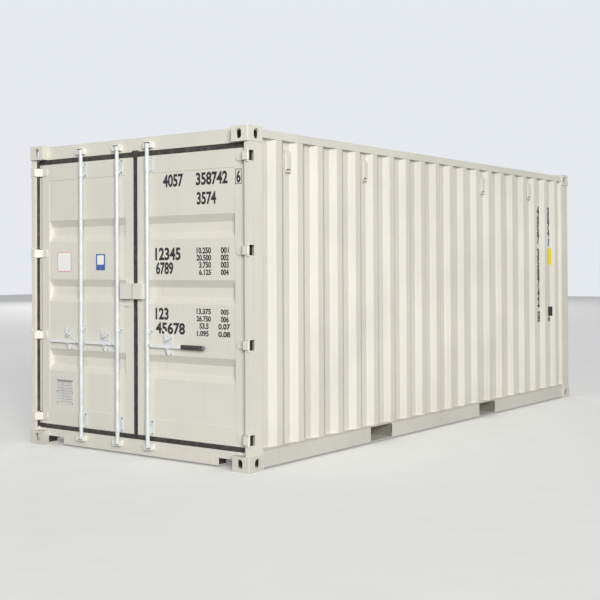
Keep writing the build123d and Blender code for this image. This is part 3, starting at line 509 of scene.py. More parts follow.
WALL_PAINT = Enamel("wall_enamel", linear(224, 222, 211), streak=0.12, seed=1.0)
DOOR_PAINT = Enamel("door_enamel", linear(225, 223, 212), cloud=0.03, streak=0.1, seed=5.0)
# Paler than the door enamel and with no darker rubbed edges: this paints light over the shade at the leaves'
# outer edges.
TRIM_LIT_PAINT = Enamel(
    "trim_enamel", linear(234, 232, 221), bare=linear(230, 228, 218),
    cloud=0.01, streak=0.04, soil=0.05, seed=6.0,
)
# A little darker than the wall enamel: the darker tone paints part of the shade on the base frame.
BASE_PAINT = Enamel("base_enamel", linear(216, 214, 204), streak=0.08, soil=0.16, soil_height=0.5, seed=9.0)
# Dark enamel for the fork pockets and cross members: its colour stands for dirt there and paints the shade
# in the pockets and under the floor.
POCKET_SHADE_PAINT = Enamel("pocket_shade_enamel", linear(128, 125, 115), linear(96, 90, 80), cloud=0.1, seed=11.0)
BAR_ZINC = Zinc("bar_zinc")
# A paler copy of the bars' zinc for the handles and catches: the extra whiteness paints light on their
# faces, which lie in shade.
HANDLE_LIT_ZINC = Zinc(
    "handle_lit_zinc", linear(236, 238, 237), linear(240, 242, 241), linear(216, 219, 219), seed=2.0
)
KEEPER_ZINC = Zinc("keeper_zinc", linear(230, 229, 222), grey=linear(214, 213, 205), seed=3.0)
BOLT_ZINC = Zinc("bolt_zinc", linear(150, 149, 144), grey=linear(96, 96, 94), metal=0.3, seed=4.0)
RIVET_STEEL = Zinc("rivet_steel", linear(92, 88, 84), linear(120, 116, 110), linear(60, 58, 56), seed=5.0)
PLATE_ALLOY = Zinc("plate_alloy", linear(216, 214, 208), grey=linear(196, 194, 188), metal=0.15, seed=6.0)
GREY_RUBBER = Rubber("grey_rubber", linear(104, 104, 106), linear(150, 150, 150))
# Dark enamel for the linings in the castings, behind the hinges and in the sill's notches: it paints the
# shade there, and in the castings also the bare steel.
SHADE_AND_BARE_STEEL = Enamel(
    "shade_and_bare_steel", linear(50, 46, 42), linear(84, 74, 64), linear(92, 84, 76), gloss=0.6, seed=12.0
)
# A dark grey strip beside each ventilator's hood, painting the shade in the gap between hood and plate.
GAP_SHADE_ENAMEL = Enamel("sealant", linear(118, 114, 104), gloss=0.6, seed=14.0)
INK_FILM = Film("ink_film", linear(20, 19, 20), fade=0.02)
GREY_FILM = Film("grey_film", linear(126, 124, 120))
WHITE_FILM = Film("white_film", linear(246, 246, 243), fade=0.04)
RED_FILM = Film("red_film", linear(196, 62, 48))
BLUE_FILM = Film("blue_film", linear(52, 92, 158))
YELLOW_FILM = Film("yellow_film", linear(236, 214, 38), fade=0.06)
DISC_FILM = Film("disc_film", linear(58, 56, 55))
SEAL_RUBBER = Rubber("seal_rubber_black")
DECK_PLYWOOD = Plywood("deck_plywood")

NODE_FINISHES: dict[Slot, Finish] = {
    Slot.WALL: WALL_PAINT,
    Slot.DOOR: DOOR_PAINT,
    Slot.BASE: BASE_PAINT,
    Slot.ZINC: BAR_ZINC,
    Slot.RUBBER: SEAL_RUBBER,
    Slot.FLOOR: DECK_PLYWOOD,
}


@dataclass(frozen=True)
class Face:
    """A flat place on the container, with its own right, up and out directions."""

    origin: Triple
    right: Triple
    up: Triple
    out: Triple

    def put(self, points: np.ndarray) -> np.ndarray:
        """Returns points right, up and out in millimetres as the origin plus each part's way, in metres."""
        return (np.array(self.origin) + points @ np.array([self.right, self.up, self.out])) * MM


@dataclass(frozen=True)
class Form:
    """Closed surfaces: their points, and their faces in groups with one corner count each."""

    points: np.ndarray
    faces: tuple[np.ndarray, ...]

    @staticmethod
    def rings(stations: np.ndarray, looped: bool = False) -> "Form":
        """Joins closed rings into a skin.

        Args:
            stations: points as station, corner, place.
            looped: whether the last ring is joined to the first, or both are closed by a face.

        Returns:
            Four-sided faces between neighbour rings, and the faces that close the two ends.
        """
        count, corners = stations.shape[:2]
        number = np.arange(count * corners).reshape(count, corners)
        ends = () if looped else (np.stack([number[0][::-1], number[-1]]),)
        if looped:
            number = np.vstack([number, number[:1]])
        ahead = np.roll(number, -1, axis=1)
        walls = np.stack([number[:-1], ahead[:-1], ahead[1:], number[1:]], axis=-1)
        return Form(stations.reshape(-1, 3), (walls.reshape(-1, 4), *ends))

    @staticmethod
    def turned(profile: list[Pair], corners: int = 16) -> "Form":
        """Turns a profile about the out direction.

        Args:
            profile: radius and height, from the foot to the top.
            corners: points in each ring, 6 for a hexagon.

        Returns:
            The points (radius times cosine, radius times sine, height) for every height and angle.
        """
        radius, height = np.array(profile).T
        angle = np.linspace(0, 2 * np.pi, corners, endpoint=False) + np.pi / corners
        ring = np.stack([np.cos(angle), np.sin(angle), np.zeros(corners)], axis=-1)
        return Form.rings(radius[:, None, None] * ring + height[:, None, None] * FACE_OUT)

    @staticmethod
    def block(low: Triple, high: Triple) -> "Form":
        """Returns a box between two corners."""
        corners = np.array([(low[0], low[1]), (high[0], low[1]), (high[0], high[1]), (low[0], high[1])])
        return Form.slab(corners, low[2], high[2])

    @staticmethod
    def dome(radius: float, height: float) -> "Form":
        """Returns a button head: radius times cosine by height times sine, turned about its axis."""
        angle = np.radians(np.linspace(0, 84, 7))
        return Form.turned([(radius, HEAD_FOOT), *zip(radius * np.cos(angle), height * np.sin(angle))])

    @staticmethod
    def hexagon(radius: float, height: float) -> "Form":
        """Makes a bolt head on its washer.

        Args:
            radius: from the head's middle to a corner.
            height: the head's height.

        Returns:
            A round washer 1.35 times as wide, and a six-sided head with its top corners turned off.
        """
        washer = Form.turned([(1.35 * radius, HEAD_FOOT), (1.35 * radius, 1.0), (1.28 * radius, 1.4)], 18)
        head = Form.turned([(radius, 1.0), (radius, 0.85 * height), (0.86 * radius, height)], 6)
        return Form.joined([washer, head])

    @staticmethod
    def slab(outline: np.ndarray, low: float, high: float) -> "Form":
        """Returns a plate: its outline, to the right and up, at two places outwards, joined and closed."""
        return Form.rings(np.stack([np.insert(outline, 2, out, axis=1) for out in (low, high)]))

    @staticmethod
    def film(size: Triple, at: Pair, lift: float = 0.0) -> "Form":
        """Returns a film of width, height and corner radius about a place, `lift` further out."""
        return Form.slab(rounded(*size), FILM_FOOT, FILM_FACE).repeated([(*at, lift)])

    @staticmethod
    def outline(size: Triple, line: float, at: Pair, lift: float = 0.0) -> "Form":
        """Draws a thin frame.

        Args:
            size: its outer width, height and corner radius.
            line: the width of its line.
            at, lift: its middle on the face, and how much further out it lies.

        Returns:
            Four rings, at the outer and inner outline and at the foot and face of a film, joined in a loop.
        """
        width, height, radius = size
        outer = rounded(width, height, radius)
        inner = rounded(width - 2 * line, height - 2 * line, max(radius - line, 0.5))
        section = [(outer, FILM_FOOT), (outer, FILM_FACE), (inner, FILM_FACE), (inner, FILM_FOOT)]
        rings = [np.insert(flat, 2, out, axis=1) for flat, out in section]
        return Form.rings(np.stack(rings), looped=True).repeated([(*at, lift)])

    @staticmethod
    def bead(path: np.ndarray, normal: np.ndarray, radius: float, corners: int = 8) -> "Form":
        """Carries a circle along a path.

        Args:
            path: the points that it follows.
            normal: a direction square to the path all along, such as straight up.
            radius: the circle's radius.
            corners: points in the circle.

        Returns:
            At each point, the circle spanned by the normal and by the mean of the sideways directions
            of the runs beside it, which is lengthened by one over the cosine of half their turn.
        """
        run = np.diff(path, axis=0)
        run /= np.linalg.norm(run, axis=1, keepdims=True)
        side = np.cross(run, normal)
        before, after = np.vstack([side[:1], side]), np.vstack([side, side[-1:]])
        mean = before + after
        mean *= 2 / np.sum(mean * mean, axis=1, keepdims=True)
        angle = np.linspace(0, 2 * np.pi, corners, endpoint=False)
        across = np.cos(angle)[None, :, None] * mean[:, None, :]
        along = np.sin(angle)[None, :, None] * normal
        return Form.rings(path[:, None, :] + radius * (across + along))

    def repeated(self, shifts: list[Triple]) -> "Form":
        """Copies the form.

        Args:
            shifts: how far each copy is moved.

        Returns:
            The copies as one form, the points plus each shift.
        """
        moves = np.array(shifts, float)
        steps = np.arange(len(moves)) * len(self.points)
        faces = [(group[None] + steps[:, None, None]).reshape(-1, group.shape[1]) for group in self.faces]
        return Form((moves[:, None, :] + self.points[None]).reshape(-1, 3), tuple(faces))

    def mirrored(self, ways: Triple, shift: Triple = (0.0, 0.0, 0.0)) -> "Form":
        """Returns the form with its points times 1 or -1 along each axis, and then moved."""
        return Form(self.points * ways + shift, self.faces)

    @staticmethod
    def joined(forms: list["Form"]) -> "Form":
        """Joins forms.

        Args:
            forms: the forms.

        Returns:
            One form, with the faces of each counted on from the one before.
        """
        starts = np.cumsum([0] + [len(form.points) for form in forms[:-1]])
        faces = [group + start for form, start in zip(forms, starts) for group in form.faces]
        return Form(np.concatenate([form.points for form in forms]), tuple(faces))

    def mesh(self, face: Face) -> bpy.types.Mesh:
        """Makes the form a mesh.

        Args:
            face: the face of the container that it stands on.

        Returns:
            The mesh, in the model's frame.
        """
        mesh = bpy.data.meshes.new("form")
        corners = [corner for group in self.faces for corner in group.tolist()]
        mesh.from_pydata(face.put(self.points).tolist(), [], corners)
        return mesh

    def both_sides(self) -> list[bpy.types.Mesh]:
        """Returns the form, made in the model's frame, on both sides of the container."""
        return [self.mirrored((1.0, way, 1.0)).mesh(MODEL) for way in (-1, 1)]


def rounded(width: float, height: float, radius: float, steps: int = 5) -> np.ndarray:
    """Works out a rectangle with round corners, about its middle.

    Args:
        width, height, radius: its sizes.
        steps: points on each corner.

    Returns:
        For each corner in turn, its centre plus the radius times cosine and sine of a quarter turn.
    """
    quarter = np.linspace(0, np.pi / 2, steps)
    angle = (np.arange(4)[:, None] * np.pi / 2 + quarter[None]).ravel()
    reach = np.array([width / 2 - radius, height / 2 - radius])
    centre = np.repeat(np.array([(1, 1), (-1, 1), (-1, -1), (1, -1)]) * reach, steps, axis=0)
    return centre + radius * np.stack([np.cos(angle), np.sin(angle)], axis=-1)


@dataclass(frozen=True)
class Figures:
    """A line or a column of plain digits that fills a box on a face."""

    text: str
    left: float
    right: float
    bottom: float
    top: float
    weight: float = 0.036
    line: float = 1.0

    def mesh(self, face: Face) -> bpy.types.Mesh:
        """Draws the digits.

        Args:
            face: the face of the container that they are on.

        Returns:
            Their mesh: each point's share of the drawn size times the box's, as thick as a film.
        """
        curve = bpy.data.curves.new("figures", "FONT")
        curve.body, curve.align_x, curve.offset = self.text, "CENTER", self.weight
        curve.space_line, curve.extrude, curve.resolution_u = self.line, 0.5, 5
        drawn = add_object("figures", curve)
        bpy.context.view_layer.update()
        mesh = bpy.data.meshes.new_from_object(drawn.evaluated_get(bpy.context.evaluated_depsgraph_get()))
        bpy.data.objects.remove(drawn)
        place = np.empty(3 * len(mesh.vertices))
        mesh.vertices.foreach_get("co", place)
        place = place.reshape(-1, 3)
        low, high = place.min(axis=0), place.max(axis=0)
        near = np.array([self.left, self.bottom, FILM_FOOT])
        far = np.array([self.right, self.top, FILM_FACE])
        spread = near + (place - low) / (high - low) * (far - near)
        mesh.vertices.foreach_set("co", face.put(spread).ravel())
        return mesh


def add_object(name: str, data: bpy.types.ID) -> bpy.types.Object:
    """Puts an object of some data into the scene.

    Args:
        name: its name.
        data: its mesh, curve, lamp or camera.

    Returns:
        The object, at the origin.
    """
    made = bpy.data.objects.new(name, data)
    bpy.context.scene.collection.objects.link(made)
    return made


def assemble(
    name: str, meshes: list[bpy.types.Mesh], finish: Finish, body: Body,
    sharp: float = 35.0,
) -> bpy.types.Object:
    """Makes one piece of some meshes, closed and facing outwards.

    Args:
        name: the piece's name.
        meshes: its meshes in the model's frame, which are used up.
        finish: what its surface is.
        body: the body that it rides on.
        sharp: the angle in degrees from which an edge stays sharp.

    Returns:
        The piece.
    """
    whole = bmesh.new()
    for mesh in meshes:
        whole.from_mesh(mesh)
        bpy.data.meshes.remove(mesh)
    bmesh.ops.remove_doubles(whole, verts=whole.verts, dist=1e-6)
    bmesh.ops.recalc_face_normals(whole, faces=whole.faces)
    made = bpy.data.meshes.new(name)
    whole.to_mesh(made)
    whole.free()
    made.shade_smooth()
    made.set_sharp_from_angle(angle=math.radians(sharp))
    made.materials.clear()
    made.materials.append(finish.material())
    piece = add_object(name, made)
    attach(piece, body.value)
    LOG.info("%s: %d faces on %s", name, len(made.polygons), body.value)
    return piece


def soften(piece: bpy.types.Object, width: float) -> None:
    """Rounds the edges of a piece with a bevel of `width` millimetres."""
    bevel = piece.modifiers.new("soft_edges", "BEVEL")
    bevel.width, bevel.segments, bevel.limit_method = width * MM, 2, "ANGLE"


def door_face(x: float) -> Face:
    """Returns a face of the doors, seen from outside: right is -Y, up is +Z and out is -X."""
    return Face((x, 0.0, 0.0), (0.0, -1.0, 0.0), (0.0, 0.0, 1.0), (-1.0, 0.0, 0.0))


def wall_face(side: int, y: float) -> Face:
    """Returns a face `y` out on the right (-1) or left (1) wall, with +X to its right and +Z up."""
    return Face((0.0, side * y, 0.0), (1.0, 0.0, 0.0), (0.0, 0.0, 1.0), (0.0, float(side), 0.0))


PANEL = door_face(-2963.0)
STILE = door_face(-2966.0)
TROUGH = wall_face(-1, 1174.0)
MODEL = Face((0.0, 0.0, 0.0), (1.0, 0.0, 0.0), (0.0, 1.0, 0.0), (0.0, 0.0, 1.0))

HINGE_LEVELS = (241.0, 949.0, 1657.0, 2365.0)
VENT_PLACES = (-2490.0, -1370.0, 870.0, 1990.0)
# Each leaf's way from the seam on the doors' faces, its body, and its part in the pieces' names.
LEAVES = ((-1, Body.LEFT_LEAF, "left"), (1, Body.RIGHT_LEAF, "right"))
# The weight of the small digits' strokes, and the line spacing of the stacked ones.
SMALL_WEIGHT, STACK_LINE = 0.04, 0.8


@dataclass
class LeafFigures:
    """The black digits on the right leaf, in two rows and two blocks."""

    rows: tuple[Figures, ...] = (
        Figures("4057", 302, 518, 2166, 2270),
        Figures("358742", 650, 970, 2166, 2267),
        Figures("3574", 658, 855, 2015, 2116),
        Figures("12345", 216, 488, 1587, 1689),
        Figures("6789", 223, 410, 1474, 1575),
        Figures("10.250", 654, 802, 1637, 1685, SMALL_WEIGHT),
        Figures("20.500", 654, 802, 1581, 1629, SMALL_WEIGHT),
        Figures("3.750", 679, 802, 1525, 1573, SMALL_WEIGHT),
        Figures("6.125", 679, 802, 1470, 1515, SMALL_WEIGHT),
        Figures("001", 899, 978, 1637, 1684, SMALL_WEIGHT),
        Figures("002", 899, 978, 1581, 1629, SMALL_WEIGHT),
        Figures("003", 899, 978, 1525, 1573, SMALL_WEIGHT),
        Figures("004", 899, 978, 1469, 1515, SMALL_WEIGHT),
        Figures("123", 217, 359, 1114, 1211),
        Figures("45678", 219, 532, 1001, 1096),
        Figures("13.375", 652, 798, 1167, 1211, SMALL_WEIGHT),
        Figures("26.750", 652, 798, 1110, 1155, SMALL_WEIGHT),
        Figures("53.5", 681, 775, 1054, 1099, SMALL_WEIGHT),
        Figures("1.095", 656, 775, 996, 1040, SMALL_WEIGHT),
        Figures("005", 897, 975, 1167, 1209, SMALL_WEIGHT),
        Figures("006", 897, 975, 1110, 1155, SMALL_WEIGHT),
        Figures("0.07", 872, 990, 1054, 1099, SMALL_WEIGHT),
        Figures("0.08", 872, 990, 996, 1040, SMALL_WEIGHT),
    )
    last: Figures = Figures("6", 1058, 1098, 2167, 2265)
    box_at: Pair = (1077.5, 2216.0)
    box_size: Triple = (62.0, 116.0, 2.0)
    box_line: float = 5.0

    def build(self) -> None:
        """Puts on the rows, and the last digit in its box on the stile."""
        box = Form.outline(self.box_size, self.box_line, self.box_at)
        assemble("leaf_figures", [row.mesh(PANEL) for row in self.rows], INK_FILM, Body.RIGHT_LEAF)
        assemble("last_figure", [self.last.mesh(STILE)], INK_FILM, Body.RIGHT_LEAF)
        assemble("last_figure_box", [box.mesh(STILE)], INK_FILM, Body.RIGHT_LEAF)


@dataclass
class LeafLabels:
    """The blank labels and the riveted plate on the left leaf."""

    white_at: Pair = (-852.0, 1583.0)
    white_size: Triple = (172.0, 168.0, 14.0)
    white_line: float = 4.0
    line_lift: float = 0.25
    blue_at: Pair = (-409.0, 1578.0)
    blue_size: Triple = (108.0, 136.0, 6.0)
    panel_up: float = 18.0
    panel_size: Triple = (78.0, 78.0, 3.0)
    panel_lift: float = 0.3
    plate_at: Pair = (-849.0, 468.0)
    plate_size: Triple = (206.0, 216.0, 5.0)
    plate_depth: float = 1.6
    ink_lift: float = 0.1
    rule_count: int = 8
    rule_levels: Pair = (-0.4, 0.36)
    rule_share: float = 0.84
    rule_line: float = 3.0
    rule_radius: float = 0.5
    post_share: float = 0.76
    post_shift: Pair = (-0.12, -0.02)
    band_level: float = 0.43
    band_line: float = 14.0
    band_radius: float = 1.0
    rivet: Pair = (6.0, 3.0)
    rivet_inset: float = 9.0

    def build(self) -> None:
        """Puts on the white label, the blue label and the plate."""
        self.white_label()
        self.blue_label()
        self.data_plate()

    def white_label(self) -> None:
        """Puts on a blank white label with a thin red line round it."""
        sheet = Form.film(self.white_size, self.white_at)
        line = Form.outline(self.white_size, self.white_line, self.white_at, self.line_lift)
        assemble("white_label", [sheet.mesh(PANEL)], WHITE_FILM, Body.LEFT_LEAF)
        assemble("white_label_line", [line.mesh(PANEL)], RED_FILM, Body.LEFT_LEAF)

    def blue_label(self) -> None:
        """Puts on a blue label with a blank white panel on it."""
        across, up = self.blue_at
        panel = Form.film(self.panel_size, (across, up + self.panel_up), self.panel_lift)
        sheet = Form.film(self.blue_size, self.blue_at)
        assemble("blue_label", [sheet.mesh(PANEL)], BLUE_FILM, Body.LEFT_LEAF)
        assemble("blue_label_panel", [panel.mesh(PANEL)], WHITE_FILM, Body.LEFT_LEAF)

    def data_plate(self) -> None:
        """Puts on a metal plate with blank ruled fields, a post, a band above them and six rivets."""
        across, up = self.plate_at
        width, height, _ = self.plate_size
        plate = Form.slab(rounded(*self.plate_size), FILM_FOOT, self.plate_depth)
        plate = plate.repeated([(across, up, 0.0)])
        assemble("data_plate", [plate.mesh(PANEL)], PLATE_ALLOY, Body.LEFT_LEAF)
        lift = self.plate_depth + self.ink_lift
        rule = (self.rule_share * width, self.rule_line, self.rule_radius)
        post = (self.rule_line, self.post_share * height, self.rule_radius)
        post_at = (across + self.post_shift[0] * width, up + self.post_shift[1] * height)
        band = (self.rule_share * width, self.band_line, self.band_radius)
        levels = np.linspace(*self.rule_levels, self.rule_count) * height
        rules = [Form.film(rule, (across, up + level), lift) for level in levels]
        rules.append(Form.film(post, post_at, lift + self.ink_lift))
        rules.append(Form.film(band, (across, up + self.band_level * height), lift))
        assemble("data_plate_rules", [form.mesh(PANEL) for form in rules], GREY_FILM, Body.LEFT_LEAF)
        reach, rise = width / 2 - self.rivet_inset, height / 2 - self.rivet_inset
        spots = [
            (across + way * reach, up + level * rise, self.plate_depth)
            for way in (-1, 1) for level in (-1, 0, 1)
        ]
        rivets = Form.dome(*self.rivet).repeated(spots)
        assemble("data_plate_rivets", [rivets.mesh(PANEL)], RIVET_STEEL, Body.LEFT_LEAF)


@dataclass
class SideWall:
    """The outer face of a side wall: crests, slopes and troughs along X."""

    first_crest: float = -2630.0
    pitch: float = 280.0
    crests: int = 20
    crest: float = 72.0
    slope: float = 68.0
    crest_face: float = 1208.0
    trough_face: float = 1174.0
    start: float = -2851.0
    end: float = 2851.0

    def breaks(self) -> np.ndarray:
        """Works out the folds of the sheet.

        Returns:
            X and distance from the middle at each fold: four about every crest, and the wall's two ends.
        """
        centre = self.first_crest + self.pitch * np.arange(self.crests)
        half, foot = self.crest / 2, self.crest / 2 + self.slope
        along = (centre[:, None] + np.array([-foot, -half, half, foot])).ravel()
        depth = np.tile([self.trough_face, self.crest_face, self.crest_face, self.trough_face], self.crests)
        along = np.concatenate([[self.start], along, [self.end]])
        return np.stack([along, np.concatenate([[self.trough_face], depth, [self.trough_face]])], axis=-1)

    def wrap(self, low: float, high: float, bottom: float, top: float) -> Form:
        """Lays a film on the right-hand wall that follows its folds.

        Args:
            low, high: its ends along X.
            bottom, top: its ends in height.

        Returns:
            A rectangle of film's thickness by height, carried along the folds between its ends.
        """
        folds = self.breaks()
        inside = folds[(folds[:, 0] > low) & (folds[:, 0] < high), 0]
        along = np.concatenate([[low], inside, [high]])
        face = -np.interp(along, folds[:, 0], folds[:, 1])
        corner = np.array([(-FILM_FACE, bottom), (-FILM_FACE, top), (-FILM_FOOT, top), (-FILM_FOOT, bottom)])
        ring = np.stack([np.zeros(4), corner[:, 0], corner[:, 1]], axis=-1)
        spine = np.stack([along, face, np.zeros(len(along))], axis=-1)
        return Form.rings(spine[:, None, :] + ring[None])

    def seam(self, side: int, level: float, radius: float) -> Form:
        """Lays a weld bead along a wall.

        Args:
            side: -1 for the right-hand wall and 1 for the left one.
            level: its height.
            radius: its radius.

        Returns:
            A bead that follows the folds.
        """
        folds = self.breaks()
        path = np.stack([folds[:, 0], side * folds[:, 1], np.full(len(folds), level)], axis=-1)
        return Form.bead(path, FACE_OUT, radius)


@dataclass
class SideMarks:
    """The stacked digits and the blank labels near the front end of the right-hand wall."""

    columns: tuple[Figures, ...] = (
        Figures("4\n0\n5\n7", 2237, 2306, 1776, 2203, 0.06, STACK_LINE),
        Figures("3\n5\n8\n7\n4\n2", 2237, 2306, 1070, 1731, 0.06, STACK_LINE),
        Figures("6", 2260, 2286, 930, 998, 0.05),
        Figures("3\n5\n7\n4", 2520, 2586, 1866, 2202, 0.07, STACK_LINE),
    )
    box_at: Pair = (2273.0, 964.0)
    box_size: Triple = (66.0, 118.0, 2.0)
    box_line: float = 20.0
    yellow: tuple[float, float, float, float] = (2494.0, 2610.0, 1545.0, 1734.0)
    blue: tuple[float, float, float, float] = (2540.0, 2572.0, 1762.0, 1847.0)
    dark: tuple[float, float, float, float] = (2528.0, 2618.0, 960.0, 1068.0)
    disc_at: Pair = (2556.0, 925.0)
    disc_radius: float = 29.0
    disc_corners: int = 28

    def build(self, wall: SideWall) -> None:
        """Puts the marks on the wall.

        Args:
            wall: the wall whose folds the labels follow.
        """
        box = Form.outline(self.box_size, self.box_line, self.box_at)
        assemble("side_figures", [column.mesh(TROUGH) for column in self.columns], INK_FILM, Body.CONTAINER)
        assemble("side_figure_box", [box.mesh(TROUGH)], INK_FILM, Body.CONTAINER)
        for name, ends, film in (
            ("yellow", self.yellow, YELLOW_FILM),
            ("blue", self.blue, BLUE_FILM),
            ("dark", self.dark, INK_FILM),
        ):
            assemble(f"side_{name}_label", [wall.wrap(*ends).mesh(MODEL)], film, Body.CONTAINER)
        rim = [(self.disc_radius, FILM_FOOT), (self.disc_radius, FILM_FACE)]
        disc = Form.turned(rim, self.disc_corners).repeated([(*self.disc_at, 0.0)])
        assemble("side_grey_disc", [disc.mesh(TROUGH)], DISC_FILM, Body.CONTAINER)


@dataclass(frozen=True)
class Bar:
    """A locking bar: its body and leaf, its Y, which way its handle points, and its retainer's distance."""

    body: Body
    leaf: Body
    y: float
    side: float
    retainer: float

    def across(self, offset: float = 0.0) -> float:
        """Returns the place on the doors' face of what is `offset` along the handle."""
        return -(self.y + self.side * offset)


BARS = (
    Bar(Body.BAR_1, Body.LEFT_LEAF, 618.0, 1.0, 160.0),
    Bar(Body.BAR_2, Body.LEFT_LEAF, 188.0, 1.0, 157.0),
    Bar(Body.BAR_3, Body.RIGHT_LEAF, -152.0, -1.0, 212.0),
)


@dataclass
class BarFittings:
    """The bolts of the bearings and retainers, and the heads of the handle and catch pins."""

    tall_levels: tuple[float, ...] = (199.0, 295.0, 2313.0, 2409.0)
    tall_reach: float = 34.0
    tall_bolt: Pair = (8.0, 7.0)
    middle_level: float = 1018.0
    middle_reach: float = 28.5
    small_bolt: Pair = (6.0, 5.5)
    retainer_levels: tuple[float, ...] = (849.0, 968.0)
    retainer_reach: float = 24.0
    handle_level: float = 907.0
    handle_pivot: float = 44.0
    pin_head: Pair = (13.5, 5.0)
    catch_level: float = 965.0
    catch_head: Pair = (8.0, 2.0)
    flange: float = 4.0
    ear_out: float = 37.0
    catch_out: float = 41.5

    def build(self) -> None:
        """Puts the fittings on both leaves and the pin heads on the bars."""
        for _, leaf, name in LEAVES:
            bars = [bar for bar in BARS if bar.leaf is leaf]
            tall = [
                (bar.across() + way * self.tall_reach, level, self.flange)
                for bar in bars for way in (-1, 1) for level in self.tall_levels
            ]
            small = [
                (bar.across() + way * self.middle_reach, self.middle_level, self.flange)
                for bar in bars for way in (-1, 1)
            ]
            small += [
                (bar.across(bar.retainer) + way * self.retainer_reach, level, self.flange)
                for bar in bars for way in (-1, 1) for level in self.retainer_levels
            ]
            heads = [
                Form.hexagon(*self.tall_bolt).repeated(tall).mesh(STILE),
                Form.hexagon(*self.small_bolt).repeated(small).mesh(PANEL),
            ]
            assemble(f"leaf_{name}_bolts", heads, BOLT_ZINC, leaf)
            catches = [(bar.across(bar.retainer), self.catch_level, self.catch_out) for bar in bars]
            pins = Form.dome(*self.catch_head).repeated(catches)
            assemble(f"leaf_{name}_catch_heads", [pins.mesh(STILE)], BOLT_ZINC, leaf)
        for bar in BARS:
            spot = (bar.across(self.handle_pivot), self.handle_level, self.ear_out)
            head = Form.dome(*self.pin_head).repeated([spot])
            assemble(f"{bar.body.value}_pin_head", [head.mesh(STILE)], BAR_ZINC, bar.body)


@dataclass
class SeamFlap:
    """The rubber flap over the top of the seam between the leaves, in two halves that part with them."""

    gap: float = 2.0
    reaches: Pair = (54.0, 75.0)
    shoulder: float = 24.0
    top: float = 2484.0
    strip: float = 2466.0
    low: float = 2432.0
    tip: float = 2412.0
    tip_rise: float = 6.0
    tip_reach: float = 22.0
    front: float = 5.0
    back: float = 0.2
    edge: float = 1.6

    def build(self) -> None:
        """Puts each half on its leaf: an outline with a sloped shoulder above and a tongue below."""
        for (way, body, name), reach in zip(LEAVES, self.reaches):
            outline = np.array([
                (self.gap, self.tip), (self.tip_reach, self.tip + self.tip_rise), (self.tip_reach, self.low),
                (reach, self.low), (reach, self.strip), (self.shoulder, self.top), (self.gap, self.top),
            ]) * np.array([way, 1.0])
            flap = Form.slab(outline, self.back, self.front)
            piece = assemble(f"seam_flap_{name}", [flap.mesh(STILE)], SEAL_RUBBER, body)
            soften(piece, self.edge)


@dataclass
class Welds:
    """Weld beads round the hinge straps, at the door panels, the walls and the roof's edges."""

    strap_start: float = 1130.0
    strap_end: float = 1062.0
    strap_half: float = 34.0
    corner: float = 24.0
    corner_level: float = 10.0
    strap_radius: float = 2.6
    wall_levels: Pair = (158.0, 2510.0)
    wall_radius: float = 3.0
    panel_levels: Pair = (316.0, 2292.0)
    panel_radius: float = 6.0
    panel_out: float = -2.0
    panel_side: Pair = (114.0, 1046.0)
    roof_side: float = 1205.0
    roof_level: float = 2570.5

    def build(self, wall: SideWall) -> None:
        """Puts on the beads.

        Args:
            wall: the wall whose folds the beads at its foot and head follow.
        """
        for way, body, name in LEAVES:
            bead = Form.bead(self.strap_path(way), FACE_OUT, self.strap_radius)
            beads = bead.repeated([(0.0, level, 0.0) for level in HINGE_LEVELS])
            assemble(f"hinge_welds_{name}", [beads.mesh(STILE)], DOOR_PAINT, body, BEAD_SHARP)
            ends = np.array([(way * across, 0.0, 0.0) for across in self.panel_side])
            joint = Form.bead(ends, FACE_UP, self.panel_radius)
            joints = joint.repeated([(0.0, level, self.panel_out) for level in self.panel_levels])
            assemble(f"panel_welds_{name}", [joints.mesh(PANEL)], DOOR_PAINT, body, BEAD_SHARP)
        seams = [wall.seam(side, level, self.wall_radius) for side in (-1, 1) for level in self.wall_levels]
        meshes = [seam.mesh(MODEL) for seam in seams]
        assemble("wall_welds", meshes, WALL_PAINT, Body.CONTAINER, BEAD_SHARP)
        ends = np.array([(wall.start, 0.0, 0.0), (wall.end, 0.0, 0.0)])
        edge = Form.bead(ends, FACE_OUT, self.wall_radius)
        edges = edge.repeated([(0.0, side * self.roof_side, self.roof_level) for side in (-1, 1)])
        assemble("roof_welds", [edges.mesh(MODEL)], WALL_PAINT, Body.CONTAINER, BEAD_SHARP)

    def strap_path(self, way: int) -> np.ndarray:
        """Works out the line round a strap's end.

        Args:
            way: -1 for the left leaf and 1 for the right one.

        Returns:
            A straight run, a round corner, the same corner turned over and a straight run back:
            each corner's centre plus its radius times cosine and sine.
        """
        turn = np.radians(np.linspace(90, 180, 7))
        arc = np.stack([np.cos(turn), np.sin(turn)], axis=-1) * self.corner
        arc += np.array([self.strap_end + self.corner, self.corner_level])
        upper = np.vstack([[(self.strap_start, self.strap_half)], arc])
        line = np.vstack([upper, (upper * np.array([1.0, -1.0]))[::-1]])
        return np.stack([way * line[:, 0], line[:, 1], np.zeros(len(line))], axis=-1)


@dataclass
class Staple:
    """The bent wire on the left leaf's stile, below the lock box."""

    ends: Pair = (-110.0, -60.0)
    level: float = 1217.0
    foot: float = -2.0
    out: float = 15.0
    bend: float = 7.0
    wire: float = 3.0

    def build(self) -> None:
        """Bends the wire: out of the stile, round a quarter turn, across, and back the same way."""
        quarter = np.radians(np.linspace(180, 90, 6))
        arc = np.stack([np.cos(quarter), np.sin(quarter)], axis=-1)
        curve = arc * self.bend + (self.bend, self.out - self.bend)
        near = np.vstack([[(0.0, self.foot)], curve]) + (self.ends[0], 0.0)
        far = near * (-1.0, 1.0) + (self.ends[0] + self.ends[1], 0.0)
        line = np.vstack([near, far[::-1]])
        path = np.stack([line[:, 0], np.full(len(line), self.level), line[:, 1]], axis=-1)
        wire = Form.bead(path, FACE_UP, self.wire)
        assemble("stile_staple", [wire.mesh(STILE)], BAR_ZINC, Body.LEFT_LEAF, BEAD_SHARP)


